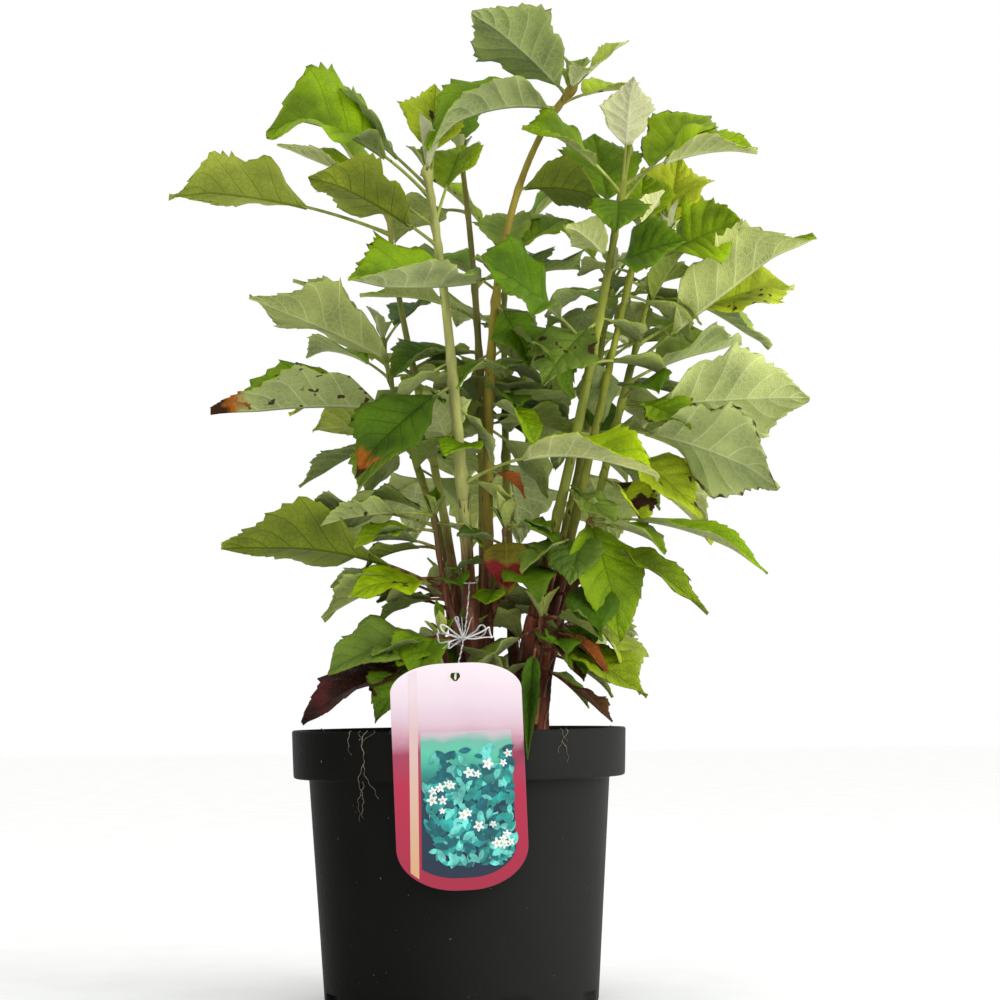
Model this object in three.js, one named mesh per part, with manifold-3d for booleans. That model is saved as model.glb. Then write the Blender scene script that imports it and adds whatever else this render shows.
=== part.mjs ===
// A young oak-leaved hydrangea in a round nursery pot, in millimetres, +Z up.
// The origin is the middle of the pot's flat underside and the front of the plant looks along -Y.
//
// Every stem is one curve. Its foot is fused into a woody stool, its bare length is a bough, and the
// leafy rest is a mass: that same stem going on, with leaf stalks and blades fused to it.
import * as THREE from 'three';
import { mergeVertices } from 'three/addons/utils/BufferGeometryUtils.js';
import Module from 'manifold-3d';

const wasm = await Module();
wasm.setup();

// ---------------------------------------------------------------- driving sizes
const gap = 0.3; // air left between neighbouring solids

const pot = {
  height: 153,
  rimTop: 95, // outer radius at the lip
  rimFoot: 94.2, // outer radius at the lower edge of the rim band
  rimBand: 27, // height of the rim band
  shoulder: 85.4, // body radius just under the rim band
  base: 77.3, // body radius at the underside
  wall: 1.7,
  floor: 2.4,
  sides: 36,
  notches: 8,
  notch: { width: 15, height: 7.4, depth: 7 },
};
const soil = { level: 138, sides: 24 };
const label = {
  width: 70, height: 120, thick: 0.8, bottom: 69,
  lean: 1.8, // degrees that its foot swings to the right
  top: { across: 28, down: 15 }, // its rounded upper corners
  foot: { across: 32, down: 23 }, // its rounder lower corners
  eye: 2.6, eyeDrop: 7,
};
const tie = { radius: 0.45, knot: 1.7, sides: 5, steps: 8, hold: 236 };
const leaf = {
  rings: 5, // steps from base to tip, an odd number so that lobes and bays alternate
  lobe: 0.1, // how far the lobes stand out and the bays draw in
  thick: 1.6, // at the midrib
  stalk: 1.15, // radius of a leaf stalk
  stalkRings: 2,
};
const flare = { foot: 2.1, fork: 1.12 }; // a stool's radius at the ground and at its forks, for its stem's 1

// Stems: where each stands on the ground, the four points that steer its curve from the fork
// to the tip, its radius at the fork and at the tip, and the height at which it turns leafy.
const stems = {
  front_left: {
    stool: 'left', ground: [11, -4], girth: [3.9, 1.9], leafy: 283,
    curve: [[9, -6, 205], [3, -16, 299], [-2, -20, 394], [-15, -24, 473]],
  },
  centre: {
    stool: 'left', ground: [18, 1], girth: [3.3, 1.6], leafy: 316,
    curve: [[17, 6, 205], [20, 6, 318], [9, 2, 458], [72, -6, 524]],
  },
  back_centre: {
    stool: 'left', ground: [16, 9], girth: [2.9, 1.4], leafy: 322,
    curve: [[14, 19, 212], [17, 28, 325], [14, 26, 415], [4, 20, 491]],
  },
  left: {
    stool: 'left', ground: [8, 6], girth: [2.9, 1.3], leafy: 306,
    curve: [[1, 18, 212], [-10, 34, 318], [-36, 38, 389], [-39, 34, 459]],
  },
  back_left: {
    stool: 'left', ground: [9, 13], girth: [2.6, 1.3], leafy: 296,
    curve: [[2, 31, 212], [-12, 62, 290], [-38, 84, 330], [-46, 90, 392]],
  },
  front_right: {
    stool: 'right', ground: [37, -3], girth: [3.5, 1.6], leafy: 350,
    curve: [[43, -5, 216], [66, -12, 299], [86, -15, 395], [102, -16, 486]],
  },
  right: {
    stool: 'right', ground: [43, 2], girth: [3.1, 1.4], leafy: 396,
    curve: [[54, 6, 216], [77, 4, 306], [92, 2, 375], [109, 6, 440]],
  },
  far_right: {
    stool: 'right', ground: [46, 9], girth: [2.9, 1.3], leafy: 297,
    curve: [[61, 19, 222], [92, 22, 305], [96, 20, 354], [126, 12, 438]],
  },
  back_right: {
    stool: 'right', ground: [40, 11], girth: [2.9, 1.4], leafy: 306,
    curve: [[48, 30, 216], [72, 66, 290], [84, 76, 360], [96, 80, 428]],
  },
  back: {
    stool: 'right', ground: [34, 8], girth: [2.8, 1.3], leafy: 306,
    curve: [[31, 27, 216], [28, 72, 300], [28, 92, 380], [30, 96, 448]],
  },
};

// Short leafy shoots low on the stools: the stem each springs from, its height there, and its curve.
const shoots = {
  low_left: { from: 'front_left', girth: [2.2, 1.2], curve: [[6, -2, 196], [-4, -2, 214], [-10, 0, 240], [-13, 2, 276]] },
  lowest_left: { from: 'front_left', girth: [2.2, 1.2], curve: [[10, -4, 160], [0, -10, 170], [-7, -14, 186], [-9, -16, 206]] },
  low_right: { from: 'right', girth: [2.2, 1.2], curve: [[50, 2, 204], [64, -6, 220], [74, -10, 244], [76, -12, 272]] },
  lowest_right: { from: 'front_right', girth: [2.2, 1.2], curve: [[38, -4, 172], [44, -14, 180], [47, -18, 196], [48, -20, 216]] },
  low_front: { from: 'centre', girth: [2, 1.1], curve: [[18, 2, 214], [24, -6, 226], [27, -9, 246], [28, -10, 268]] },
  low_back_left: { from: 'back_left', girth: [2, 1.1], curve: [[6, 20, 176], [0, 32, 190], [-6, 42, 208], [-8, 46, 236]] },
  low_back_right: { from: 'back_right', girth: [2, 1.1], curve: [[42, 20, 180], [52, 32, 196], [60, 40, 214], [64, 44, 240]] },
};

// Leaves, each as [height on the stem, heading in degrees from +X towards +Y, reach sideways,
// rise to the tip, width, arch, roll, fold, share that is stalk]. The arch lifts the middle of the
// leaf by that share of its length, the roll turns the whole blade, the fold lifts its two halves.
const leaves = {
  front_left: [
    [454, 193, 94, 46, 76, 0.22, 30, 34, 0.32],
    [440, 60, 34, 54, 42, 0.10, 0, 25, 0.40],
    [455, 84, 25, 72, 38, 0.06, -10, 16, 0.40],
    [460, 160, 70, 62, 48, 0.06, -14, 20, 0.30],
    [438, 187, 90, 46, 34, 0.10, 16, 26, 0.36],
    [427, 200, 76, 38, 58, 0.10, -24, 14, 0.24],
    [470, 213, 5, 34, 17, 0.10, 0, 40, 0.15],
    [468, 49, 10, 30, 16, 0.10, 0, 40, 0.15],
    [291, 244, 24, 50, 40, 0.30, -14, 18, 0.32],
    [291, 335, 120, -2, 58, 0.26, -8, 34, 0.34],
  ],
  centre: [
    [518, 220, 71, 38, 52, 0.08, -24, 14, 0.10],
    [510, 202, 84, -24, 56, 0.22, 28, 32, 0.08],
    [430, 238, 126, -20, 70, -0.06, 24, 44, 0.14],
    [520, 0, 34, 31, 20, 0.05, -30, 20, 0.30],
    [521, 60, 20, 24, 15, 0.05, 0, 30, 0.20],
    [519, 300, 24, 10, 16, 0.15, 0, 30, 0.20],
    [512, 42, 66, 20, 34, 0.12, -8, 20, 0.34],
    [464, 343, 54, -9, 44, 0.12, 34, 12, 0.08],
    [420, 14, 44, 30, 38, 0.12, -20, 18, 0.20],
    [424, 80, 34, 34, 36, 0.10, 0, 18, 0.20],
    [400, 56, 28, -42, 34, 0.30, 0, 20, 0.25],
    [386, 332, 54, -44, 44, 0.22, -10, 20, 0.24],
    [346, 24, 54, -14, 46, 0.20, 0, 20, 0.26],
    [340, 318, 40, -26, 34, 0.30, 0, 20, 0.28],
    [354, 290, 36, 6, 30, 0.30, 0, 15, 0.28],
  ],
  back_centre: [
    [455, 140, 60, -8, 48, 0.25, 0, 22, 0.28],
    [482, 110, 34, 50, 40, 0.10, 0, 24, 0.28],
    [410, 50, 64, 22, 48, 0.20, 0, 22, 0.28],
    [392, 196, 70, 10, 44, 0.20, 0, 22, 0.28],
    [372, 200, 56, -14, 46, 0.20, 10, 22, 0.26],
    [360, 78, 52, 4, 46, 0.20, 0, 22, 0.26],
    [340, 124, 62, -12, 48, 0.20, 0, 22, 0.26],
    [334, 12, 58, -12, 46, 0.20, 0, 22, 0.26],
  ],
  left: [
    [445, 181, 131, 28, 70, 0.10, -24, 26, 0.40],
    [452, 162, 46, 76, 42, 0.05, 10, 20, 0.28],
    [360, 203, 100, 42, 66, 0.08, -28, 24, 0.18],
    [337, 196, 126, -4, 66, 0.10, 12, 52, 0.22],
    [360, 240, 64, -64, 44, 0.30, 10, 18, 0.20],
    [328, 163, 72, 2, 46, 0.12, -20, 22, 0.26],
    [320, 222, 58, -28, 42, 0.22, 0, 16, 0.20],
  ],
  front_right: [
    [460, 291, 16, 62, 30, 0.04, 0, 10, 0.40],
    [457, 203, 61, 36, 50, 0.24, 34, 16, 0.28],
    [462, 1, 78, 20, 50, 0.20, -16, 34, 0.32],
    [451, 33, 67, 63, 48, 0.08, -26, 18, 0.36],
    [433, 102, 44, 70, 48, 0.06, 0, 16, 0.34],
    [366, 209, 76, 50, 62, 0.14, 44, 14, 0.30],
    [453, 262, 26, -24, 34, 0.30, 0, 14, 0.10],
    [412, 334, 48, 14, 44, 0.14, -46, 14, 0.12],
    [419, 198, 26, 20, 30, 0.14, -20, 18, 0.14],
  ],
  right: [
    [434, 75, 20, 46, 36, 0.08, -20, 18, 0.20],
    [436, 338, 15, 27, 22, 0.10, 0, 28, 0.15],
  ],
  far_right: [
    [362, 347, 106, 76, 60, 0.02, 8, 54, 0.26],
    [374, 12, 98, 42, 60, 0.10, -40, 18, 0.34],
    [352, 24, 78, 26, 50, 0.12, 0, 36, 0.24],
    [424, 352, 48, 20, 62, 0.14, -50, 10, 0.10],
    [432, 72, 34, 58, 42, 0.06, -20, 18, 0.24],
    [392, 330, 26, 36, 24, 0.10, 0, 45, 0.20],
    [338, 352, 110, 8, 62, 0.02, 48, 10, 0.22],
    [328, 339, 100, -38, 62, 0.08, 48, 8, 0.22],
    [336, 315, 60, -12, 38, 0.20, -30, 14, 0.24],
    [316, 20, 42, -45, 46, 0.25, -20, 14, 0.22],
    [308, 306, 26, -42, 40, 0.34, -10, 16, 0.24],
    [326, 22, 68, -26, 42, 0.16, -10, 18, 0.30],
  ],
  back_right: [
    [412, 355, 90, -36, 36, 0.30, 0, 22, 0.50],
  ],
  low_left: [
    [230, 186, 124, 25, 46, 0.06, 6, 34, 0.24],
    [272, 208, 106, -12, 50, 0.22, 26, 18, 0.24],
    [266, 170, 78, 12, 42, 0.16, -10, 20, 0.22],
    [258, 218, 46, -8, 32, 0.18, 0, 18, 0.26],
    [238, 158, 66, -14, 46, 0.20, 16, 16, 0.26],
  ],
  lowest_left: [
    [200, 201, 62, 22, 48, 0.16, 20, 14, 0.30],
    [198, 222, 54, -6, 40, 0.24, 6, 18, 0.20],
    [204, 250, 40, -24, 34, 0.30, 0, 18, 0.26],
    [184, 230, 64, -24, 42, 0.26, 16, 16, 0.20],
    [170, 204, 86, -14, 44, 0.22, 26, 20, 0.30],
  ],
  low_right: [
    [270, 284, 52, -56, 48, 0.22, -8, 10, 0.18],
    [252, 2, 68, -32, 38, 0.20, -20, 20, 0.26],
    [266, 349, 100, -26, 38, 0.16, -24, 18, 0.28],
    [236, 296, 54, -58, 46, 0.26, -10, 12, 0.24],
    [262, 250, 34, -30, 34, 0.26, 0, 16, 0.24],
  ],
  lowest_right: [
    [206, 268, 82, -60, 24, 0.46, 0, 26, 0.30],
    [196, 334, 64, -28, 40, 0.26, -10, 16, 0.26],
    [200, 305, 52, -46, 28, 0.34, 0, 30, 0.30],
  ],
  low_front: [
    [262, 264, 32, -36, 44, 0.28, 0, 12, 0.22],
    [266, 305, 38, -12, 30, 0.26, 0, 14, 0.26],
    [250, 312, 36, -34, 30, 0.28, 0, 14, 0.26],
  ],
};

// Leaves on the sides that face away stand in pairs that open outwards: how many pairs, the heights
// of the lowest and the highest, the heading straight outwards, and from lowest to highest their
// reach and rise; then width as a share of reach, a seed, and the leaves that would touch a neighbour.
const opening = [20, 50, 78]; // degrees either side of outwards, in turn up the stem
const pairs = {
  back: { count: 6, height: [314, 442], outward: 98, reach: [80, 60], rise: [-24, 50], width: 0.6, seed: 94, omit: [3, 5] },
  back_left: { count: 5, height: [304, 386], outward: 116, reach: [82, 62], rise: [-24, 42], width: 0.56, seed: 23 },
  back_right: { count: 6, height: [314, 422], outward: 48, reach: [92, 62], rise: [-22, 44], width: 0.56, seed: 107 },
  low_back_left: { count: 2, height: [204, 230], outward: 118, reach: [76, 70], rise: [-20, 14], width: 0.5, seed: 51 },
  low_back_right: { count: 2, height: [210, 234], outward: 66, reach: [72, 64], rise: [-20, 14], width: 0.5, seed: 67 },
};

// ---------------------------------------------------------------- colours
const finish = (colour, roughness, side = THREE.FrontSide) =>
  new THREE.MeshStandardMaterial({ color: colour, roughness, metalness: 0, side });
const looks = {
  pot: finish(0x2b2c2d, 0.55),
  soil: finish(0x2f211a, 0.95),
  bark: finish(0x5d3a2a, 0.85),
  bough: finish(0x8c8a4e, 0.6),
  foliage: finish(0x7fa043, 0.6),
  label: finish(0xc9b4c4, 0.35),
  tie: finish(0xf0eee8, 0.8),
};

// ---------------------------------------------------------------- solids
const radians = THREE.MathUtils.degToRad;
const mix = THREE.MathUtils.lerp;
const vector = (p) => new THREE.Vector3(...p);

// A closed geometry as a solid that can be joined and cut, turned right side out if it needs it.
function solid(geometry) {
  geometry.deleteAttribute('normal');
  geometry.deleteAttribute('uv');
  const merged = mergeVertices(geometry, 1e-4);
  const corners = Uint32Array.from(merged.index.array);
  const places = merged.attributes.position.array;
  const make = () => new wasm.Manifold(new wasm.Mesh({ numProp: 3, vertProperties: places, triVerts: corners }));
  const shape = make();
  if (shape.volume() >= 0) return shape;
  for (let i = 0; i < corners.length; i += 3) {
    [corners[i], corners[i + 1]] = [corners[i + 1], corners[i]];
  }
  return make();
}

function meshOf(name, shape, look) {
  const { vertProperties, triVerts } = shape.getMesh();
  const geometry = new THREE.BufferGeometry();
  geometry.setAttribute('position', new THREE.BufferAttribute(vertProperties, 3));
  geometry.setIndex(new THREE.BufferAttribute(triVerts, 1));
  geometry.computeVertexNormals();
  const mesh = new THREE.Mesh(geometry, look);
  mesh.name = name;
  return mesh;
}

function moved(geometry, place) {
  const points = geometry.attributes.position;
  const p = new THREE.Vector3();
  for (let i = 0; i < points.count; i += 1) {
    place(p.fromBufferAttribute(points, i));
    points.setXYZ(i, p.x, p.y, p.z);
  }
  return geometry;
}

// A polygon prism bent along a curve: radiusAt gives its radius at each share of the curve, and
// across is a direction that is never along the curve, from which its section is set square.
function limb(curve, radiusAt, across, { sides = 7, steps = 6, from = 0, to = 1 } = {}) {
  const corner = (k) => new THREE.Vector2(Math.cos((2 * Math.PI * k) / sides), Math.sin((2 * Math.PI * k) / sides));
  const outline = new THREE.Shape(Array.from({ length: sides }, (_, k) => corner(k)));
  const prism = new THREE.ExtrudeGeometry(outline, { depth: 1, steps, bevelEnabled: false });
  return solid(moved(prism, (p) => {
    const t = mix(from, to, p.z);
    const along = curve.getTangent(t);
    const second = new THREE.Vector3().crossVectors(along, across).normalize();
    const first = new THREE.Vector3().crossVectors(second, along);
    const r = radiusAt(t);
    const { x, y } = p;
    p.copy(curve.getPoint(t)).addScaledVector(first, x * r).addScaledVector(second, y * r);
  }));
}

// The share of a rising curve at which it reaches a height.
function shareAt(curve, height) {
  let [low, high] = [0, 1];
  for (let k = 0; k < 30; k += 1) {
    const middle = (low + high) / 2;
    if (curve.getPoint(middle).z < height) low = middle;
    else high = middle;
  }
  return (low + high) / 2;
}

// Half the width of a blade, as a share of its full half width, at a share s from base to tip:
// an oval fullest a little before the middle, with lobes and bays that alternate.
const bladeWidth = (s) =>
  Math.sin(Math.PI * Math.min(1, s) ** 0.82) ** 0.8 * (1 - leaf.lobe * Math.cos(Math.PI * leaf.rings * s));

// One leaf: a ball with four sides is drawn out into a stalk that starts inside the stem, and then
// into a thin blade folded along its midrib. spare makes it fatter, to test what it comes close to.
function leafSolid(curve, [at, heading, reach, rise, width, arch, roll, fold, stalk], spare = 0) {
  const foot = curve.getPoint(shareAt(curve, at));
  const h = radians(heading);
  const tip = foot.clone().add(vector([reach * Math.cos(h), reach * Math.sin(h), rise]));
  const length = foot.distanceTo(tip);
  const pull = foot.clone().lerp(tip, 0.45).add(vector([0, 0, arch * length]));
  const spine = new THREE.QuadraticBezierCurve3(foot, pull, tip);
  const side = vector([Math.sin(h), -Math.cos(h), 0]);
  const [lift, spread] = [Math.sin(radians(fold)), Math.cos(radians(fold))];
  const { rings, stalkRings } = leaf;
  const ball = new THREE.SphereGeometry(1, 4, stalkRings + rings);
  return solid(moved(ball, (p) => {
    const polar = Math.acos(THREE.MathUtils.clamp(p.y, -1, 1));
    const ring = (polar / Math.PI) * (stalkRings + rings);
    const round = Math.max(Math.sin(polar), 1e-9);
    const [across, up] = [p.x / round, p.z / round].map((q) => (Math.abs(q) > 0.5 ? Math.sign(q) : 0));
    const s = Math.max(0, (ring - stalkRings) / rings);
    const t = s > 0 ? mix(stalk, 1, s) : (stalk * Math.max(0, ring - 1)) / (stalkRings - 1);
    const along = spine.getTangent(t);
    const normal = new THREE.Vector3().crossVectors(side, along).applyAxisAngle(along, -radians(roll) * Math.min(1, 3 * s));
    const sideways = new THREE.Vector3().crossVectors(along, normal);
    const half = across * (Math.max(leaf.stalk, bladeWidth(s) * (width / 2)) + spare);
    const thick = up * (mix(leaf.stalk, leaf.thick / 2, Math.min(1, 3 * s)) * (1 - s * s / 2) + spare);
    p.copy(spine.getPoint(t));
    p.addScaledVector(sideways, half * (s > 0 ? spread : 1));
    p.addScaledVector(normal, (s > 0 ? Math.abs(half) * lift : 0) + thick);
  }));
}

// Pairs of leaves up a stem, each a little different from the last.
function pairedLeaves({ count, height, outward, reach, rise, width, seed, omit = [] }) {
  let state = seed;
  const vary = (amount) => {
    state = (state * 16807) % 2147483647;
    return amount * (2 * (state / 2147483647) - 1);
  };
  const rows = [];
  for (let k = 0; k < count; k += 1) {
    const share = k / (count - 1);
    for (const hand of [1, -1]) {
      const length = mix(...reach, share) + vary(8);
      rows.push([
        mix(...height, share) + vary(2), outward + hand * opening[k % opening.length] + vary(8), length,
        mix(...rise, share) + vary(8), length * width, 0.2 + vary(0.06), vary(12), 22 + vary(8), 0.28,
      ]);
    }
  }
  return rows.filter((_, k) => !omit.includes(k));
}

// ---------------------------------------------------------------- pot, soil, label
function potSolid() {
  const p = pot;
  const bandFoot = p.height - p.rimBand;
  const bodyAt = (z) => mix(p.base, p.shoulder, z / bandFoot);
  const profile = [
    [0, 0], [p.base, 0], [bodyAt(bandFoot), bandFoot], [p.rimFoot, bandFoot + 0.6], [p.rimTop, p.height - 1.2],
    [p.rimTop - 0.8, p.height], [p.rimTop - p.wall, p.height - 0.6], [p.rimFoot - p.wall - 0.6, bandFoot + 3],
    [bodyAt(bandFoot) - p.wall, bandFoot], [bodyAt(p.floor) - p.wall, p.floor], [0, p.floor],
  ];
  const cup = solid(new THREE.LatheGeometry(profile.map((q) => new THREE.Vector2(...q)), p.sides).rotateX(Math.PI / 2));
  const cuts = [];
  for (let k = 0; k < p.notches; k += 1) {
    const turn = (2 * Math.PI * (k + 0.5)) / p.notches;
    const box = new THREE.BoxGeometry(p.notch.depth, p.notch.width, 2 * p.notch.height);
    box.translate(p.base, 0, 0).rotateZ(turn);
    cuts.push(solid(box));
  }
  return cup.subtract(wasm.Manifold.union(cuts));
}

function soilSolid() {
  const inner = (z) => mix(pot.base, pot.shoulder, z / (pot.height - pot.rimBand)) - pot.wall - gap - 0.4;
  const low = pot.floor + gap;
  const bandFoot = pot.height - pot.rimBand;
  const profile = [
    [0, low], [inner(pot.notch.height) - pot.notch.depth / 2, low],
    [inner(pot.notch.height), pot.notch.height + 2 * gap], [inner(bandFoot), bandFoot],
    [inner(bandFoot), bandFoot + 4], [inner(bandFoot) + 4, soil.level], [0, soil.level],
  ];
  return solid(new THREE.LatheGeometry(profile.map((q) => new THREE.Vector2(...q)), soil.sides).rotateX(Math.PI / 2));
}

// A tall plate with rounded corners and an eye near the top, upright against the rim.
function labelSolid() {
  const half = label.width / 2;
  const { height, top, foot } = label;
  const quarter = Math.PI / 2;
  const corners = [
    [half - foot.across, foot.down, foot, 3], [half - top.across, height - top.down, top, 0],
    [top.across - half, height - top.down, top, 1], [foot.across - half, foot.down, foot, 2],
  ];
  const outline = new THREE.Shape();
  for (const [x, y, round, turn] of corners) {
    outline.absellipse(x, y, round.across, round.down, turn * quarter, (turn + 1) * quarter, false);
  }
  const eye = new THREE.Path();
  eye.absellipse(0, height - label.eyeDrop, label.eye, label.eye, 0, 2 * Math.PI, true);
  outline.holes.push(eye);
  const plate = new THREE.ExtrudeGeometry(outline, { depth: label.thick, bevelEnabled: false, curveSegments: 6 });
  plate.translate(0, label.eyeDrop - height, 0).rotateZ(radians(label.lean)).rotateX(Math.PI / 2);
  return solid(plate.translate(0, -pot.rimTop - gap, label.bottom + height - label.eyeDrop));
}

function tieSolid() {
  const eyeHeight = label.bottom + label.height - label.eyeDrop;
  const front = -pot.rimTop - gap - label.thick - 1.6;
  const stem = stemCurve('front_left');
  const hold = stem.getPoint(shareAt(stem, tie.hold));
  const end = hold.clone().add(vector([0, -stemRadius('front_left', shareAt(stem, tie.hold)) - gap - tie.knot, 0]));
  const top = eyeHeight + label.eye - tie.radius - gap;
  const curve = new THREE.CubicBezierCurve3(
    vector([0, front, top - 0.6]), vector([0, front + 14, top]),
    vector([end.x - 1, mix(front, end.y, 0.55), mix(top, end.z, 0.35)]), end,
  );
  const thread = limb(curve, () => tie.radius, vector([1, 0, 0]), { sides: tie.sides, steps: tie.steps });
  const knot = new THREE.SphereGeometry(tie.knot, 8, 6);
  return thread.add(solid(knot.translate(...end.toArray())));
}

// ---------------------------------------------------------------- stems
function stemCurve(name) {
  return new THREE.CubicBezierCurve3(...stems[name].curve.map(vector));
}

function stemRadius(name, t) {
  return mix(...stems[name].girth, t);
}

const sideways = vector([1, 0, 0]);

// The woody foot of a stem, from below the ground to its fork, widening towards the ground.
function stubCurve(name) {
  const { ground } = stems[name];
  const stem = stemCurve(name);
  const fork = stem.getPoint(0);
  const pull = fork.clone().addScaledVector(stem.getTangent(0), -0.45 * (fork.z - soil.level));
  return new THREE.QuadraticBezierCurve3(vector([...ground, soil.level - 3]), pull, fork);
}

function stubSolid(name, spare = 0) {
  const [girth] = stems[name].girth;
  const wide = (t) => girth * mix(flare.fork, flare.foot, (1 - t) ** 4) + spare;
  return limb(stubCurve(name), wide, sideways, { steps: 5 });
}

const belowGround = solid(new THREE.BoxGeometry(200, 200, 40).translate(0, 0, soil.level + gap - 20));

function stoolSolid(side, spare = 0) {
  const names = Object.keys(stems).filter((name) => stems[name].stool === side);
  return wasm.Manifold.union(names.map((name) => stubSolid(name, spare))).subtract(belowGround);
}

// The bare length of a stem, from just above its fork to where it turns leafy.
function boughRange(name) {
  const curve = stemCurve(name);
  const step = gap / curve.getLength();
  return { from: step, to: shareAt(curve, stems[name].leafy) };
}

function boughSolid(name, spare = 0) {
  const curve = stemCurve(name);
  const { from, to } = boughRange(name);
  const slack = spare / curve.getLength();
  return limb(curve, (t) => stemRadius(name, t) + spare, sideways, { from: Math.max(0, from - slack), to: to + slack });
}

// ---------------------------------------------------------------- assembly
const plant = new THREE.Group();
const placed = []; // solids that later leaves must stay clear of, with the names of their nodes

function place(name, shape, look) {
  plant.add(meshOf(name, shape, look));
  placed.push(shape);
}

// The largest closed surface of a shape: a pocket that fusing has sealed is filled, a scrap is dropped,
// and so are edges too short to matter.
const whole = (shape) => shape.decompose().reduce((a, b) => (b.volume() > a.volume() ? b : a)).simplify(0.05);

const apart = (a, b) => {
  const [p, q] = [a.boundingBox(), b.boundingBox()];
  return [0, 1, 2].some((k) => p.min[k] > q.max[k] || q.min[k] > p.max[k]);
};
const touches = (a, b) => !apart(a, b) && !a.intersect(b).isEmpty();

// A mass: a stem with its leaves. A leaf that would touch a limb or another mass is left out.
const masses = [];

function addMass(name, curve, girth, from, rows) {
  const stem = limb(curve, (t) => mix(...girth, t), sideways, { sides: 6, steps: 7, from });
  masses.push({ name, curve, stem, rows });
}

function massSolid({ curve, stem, rows }) {
  const others = [...placed, ...masses.filter((mass) => mass.stem !== stem).map((mass) => mass.stem)];
  const clear = (row) => {
    const wide = leafSolid(curve, row, gap);
    return !others.some((other) => touches(wide, other));
  };
  return wasm.Manifold.union([stem, ...rows.filter(clear).map((row) => leafSolid(curve, row))]);
}

place('nursery_pot', potSolid(), looks.pot);
place('potting_soil', soilSolid(), looks.soil);
place('plant_label', labelSolid(), looks.label);

for (const side of ['left', 'right']) place(`stool_${side}`, stoolSolid(side), looks.bark);
for (const name of Object.keys(stems)) place(`bough_${name}`, boughSolid(name), looks.bough);
place('label_tie', tieSolid(), looks.tie);

const rowsOf = (name) => [...(leaves[name] ?? []), ...(pairs[name] ? pairedLeaves(pairs[name]) : [])];
for (const [name, { girth }] of Object.entries(stems)) {
  const curve = stemCurve(name);
  const from = boughRange(name).to + gap / curve.getLength();
  addMass(`crown_${name}`, curve, girth, from, rowsOf(name));
}
for (const [name, { girth, curve }] of Object.entries(shoots)) {
  addMass(`foliage_${name}`, new THREE.CubicBezierCurve3(...curve.map(vector)), girth, 0, rowsOf(name));
}

// A low shoot springs from a stool, so it is cut back to stay just clear of every limb.
const limbs = wasm.Manifold.union([
  ...['left', 'right'].map((side) => stoolSolid(side, gap)),
  ...Object.keys(stems).map((name) => boughSolid(name, gap)),
]);
for (const mass of masses) {
  place(mass.name, whole(massSolid(mass).subtract(limbs)), looks.foliage);
}

export default plant;
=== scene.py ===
import math

import bpy
import numpy as np
from mathutils import Matrix, Vector


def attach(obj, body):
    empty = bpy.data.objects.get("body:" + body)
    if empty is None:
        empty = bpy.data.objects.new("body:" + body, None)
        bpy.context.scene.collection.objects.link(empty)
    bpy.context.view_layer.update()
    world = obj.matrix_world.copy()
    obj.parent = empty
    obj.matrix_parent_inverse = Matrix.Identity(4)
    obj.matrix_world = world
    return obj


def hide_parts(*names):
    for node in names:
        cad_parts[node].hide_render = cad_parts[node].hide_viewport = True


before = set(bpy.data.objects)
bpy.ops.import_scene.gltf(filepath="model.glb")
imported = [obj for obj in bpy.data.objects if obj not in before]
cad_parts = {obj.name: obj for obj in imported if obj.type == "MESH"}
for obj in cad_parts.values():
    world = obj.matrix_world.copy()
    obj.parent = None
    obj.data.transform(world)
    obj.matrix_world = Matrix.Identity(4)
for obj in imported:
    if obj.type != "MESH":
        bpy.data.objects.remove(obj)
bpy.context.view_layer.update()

# A young oak-leaved hydrangea in a nursery pot. Sizes are millimetres until addMesh makes them metres.
mm = 0.001
goldenTurn, fullTurn = 137.508, 2 * np.pi  # in degrees and in radians
brownMark, rustMark = (56, 32, 14), (158, 88, 14)  # blemishes of the leaves
redMark, wineMark = (112, 26, 26), (76, 28, 28)


def linear(colour):  # a 0-255 colour as the shader's linear colour
    share = np.array(colour[:3], float) / 255
    flat = np.where(share <= 0.04045, share / 12.92, ((share + 0.055) / 1.055) ** 2.4)
    return (*flat.tolist(), 1.0)


def mix(a, b, t):
    return a + (b - a) * t


def smoothStep(low, high, x):
    t = np.clip((x - low) / (high - low), 0, 1)
    return t * t * (3 - 2 * t)


def unit(v):
    return v / np.maximum(np.linalg.norm(v, axis=-1, keepdims=True), 1e-12)


# A rough field over points: a sum of sine waves of one length in seeded directions, about -1 to 1.
def ripple(points, length, seed, waves=9):
    rng = np.random.default_rng(seed)
    ways = unit(rng.normal(size=(waves, 3))) * rng.uniform(0.7, 1.4, (waves, 1)) * (fullTurn / length)
    shift = rng.uniform(0, fullTurn, waves)
    return np.sin(np.asarray(points) @ ways.T + shift).sum(-1) / (1.44 * np.sqrt(waves))


# A Bezier curve through its steering points: the sum of binomial terms.
def curveAt(steer, t):
    steer, t = np.asarray(steer, float), np.asarray(t, float)[..., None]
    order = len(steer) - 1
    return sum(math.comb(order, k) * (1 - t) ** (order - k) * t**k * steer[k] for k in range(order + 1))


def slopeAt(steer, t):
    return unit(curveAt(np.diff(np.asarray(steer, float), axis=0), t))


def shareAt(steer, height):  # the share of a rising curve at which it reaches a height
    t = np.linspace(0, 1, 4001)
    return np.interp(height, curveAt(steer, t)[:, 2], t)


def lengthOf(steer):
    points = curveAt(steer, np.linspace(0, 1, 400))
    return np.linalg.norm(np.diff(points, axis=0), axis=1).sum()


def squareTo(along, across=(1, 0, 0)):  # two directions square to a path and to each other
    second = unit(np.cross(along, across))
    return np.cross(second, along), second


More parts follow.
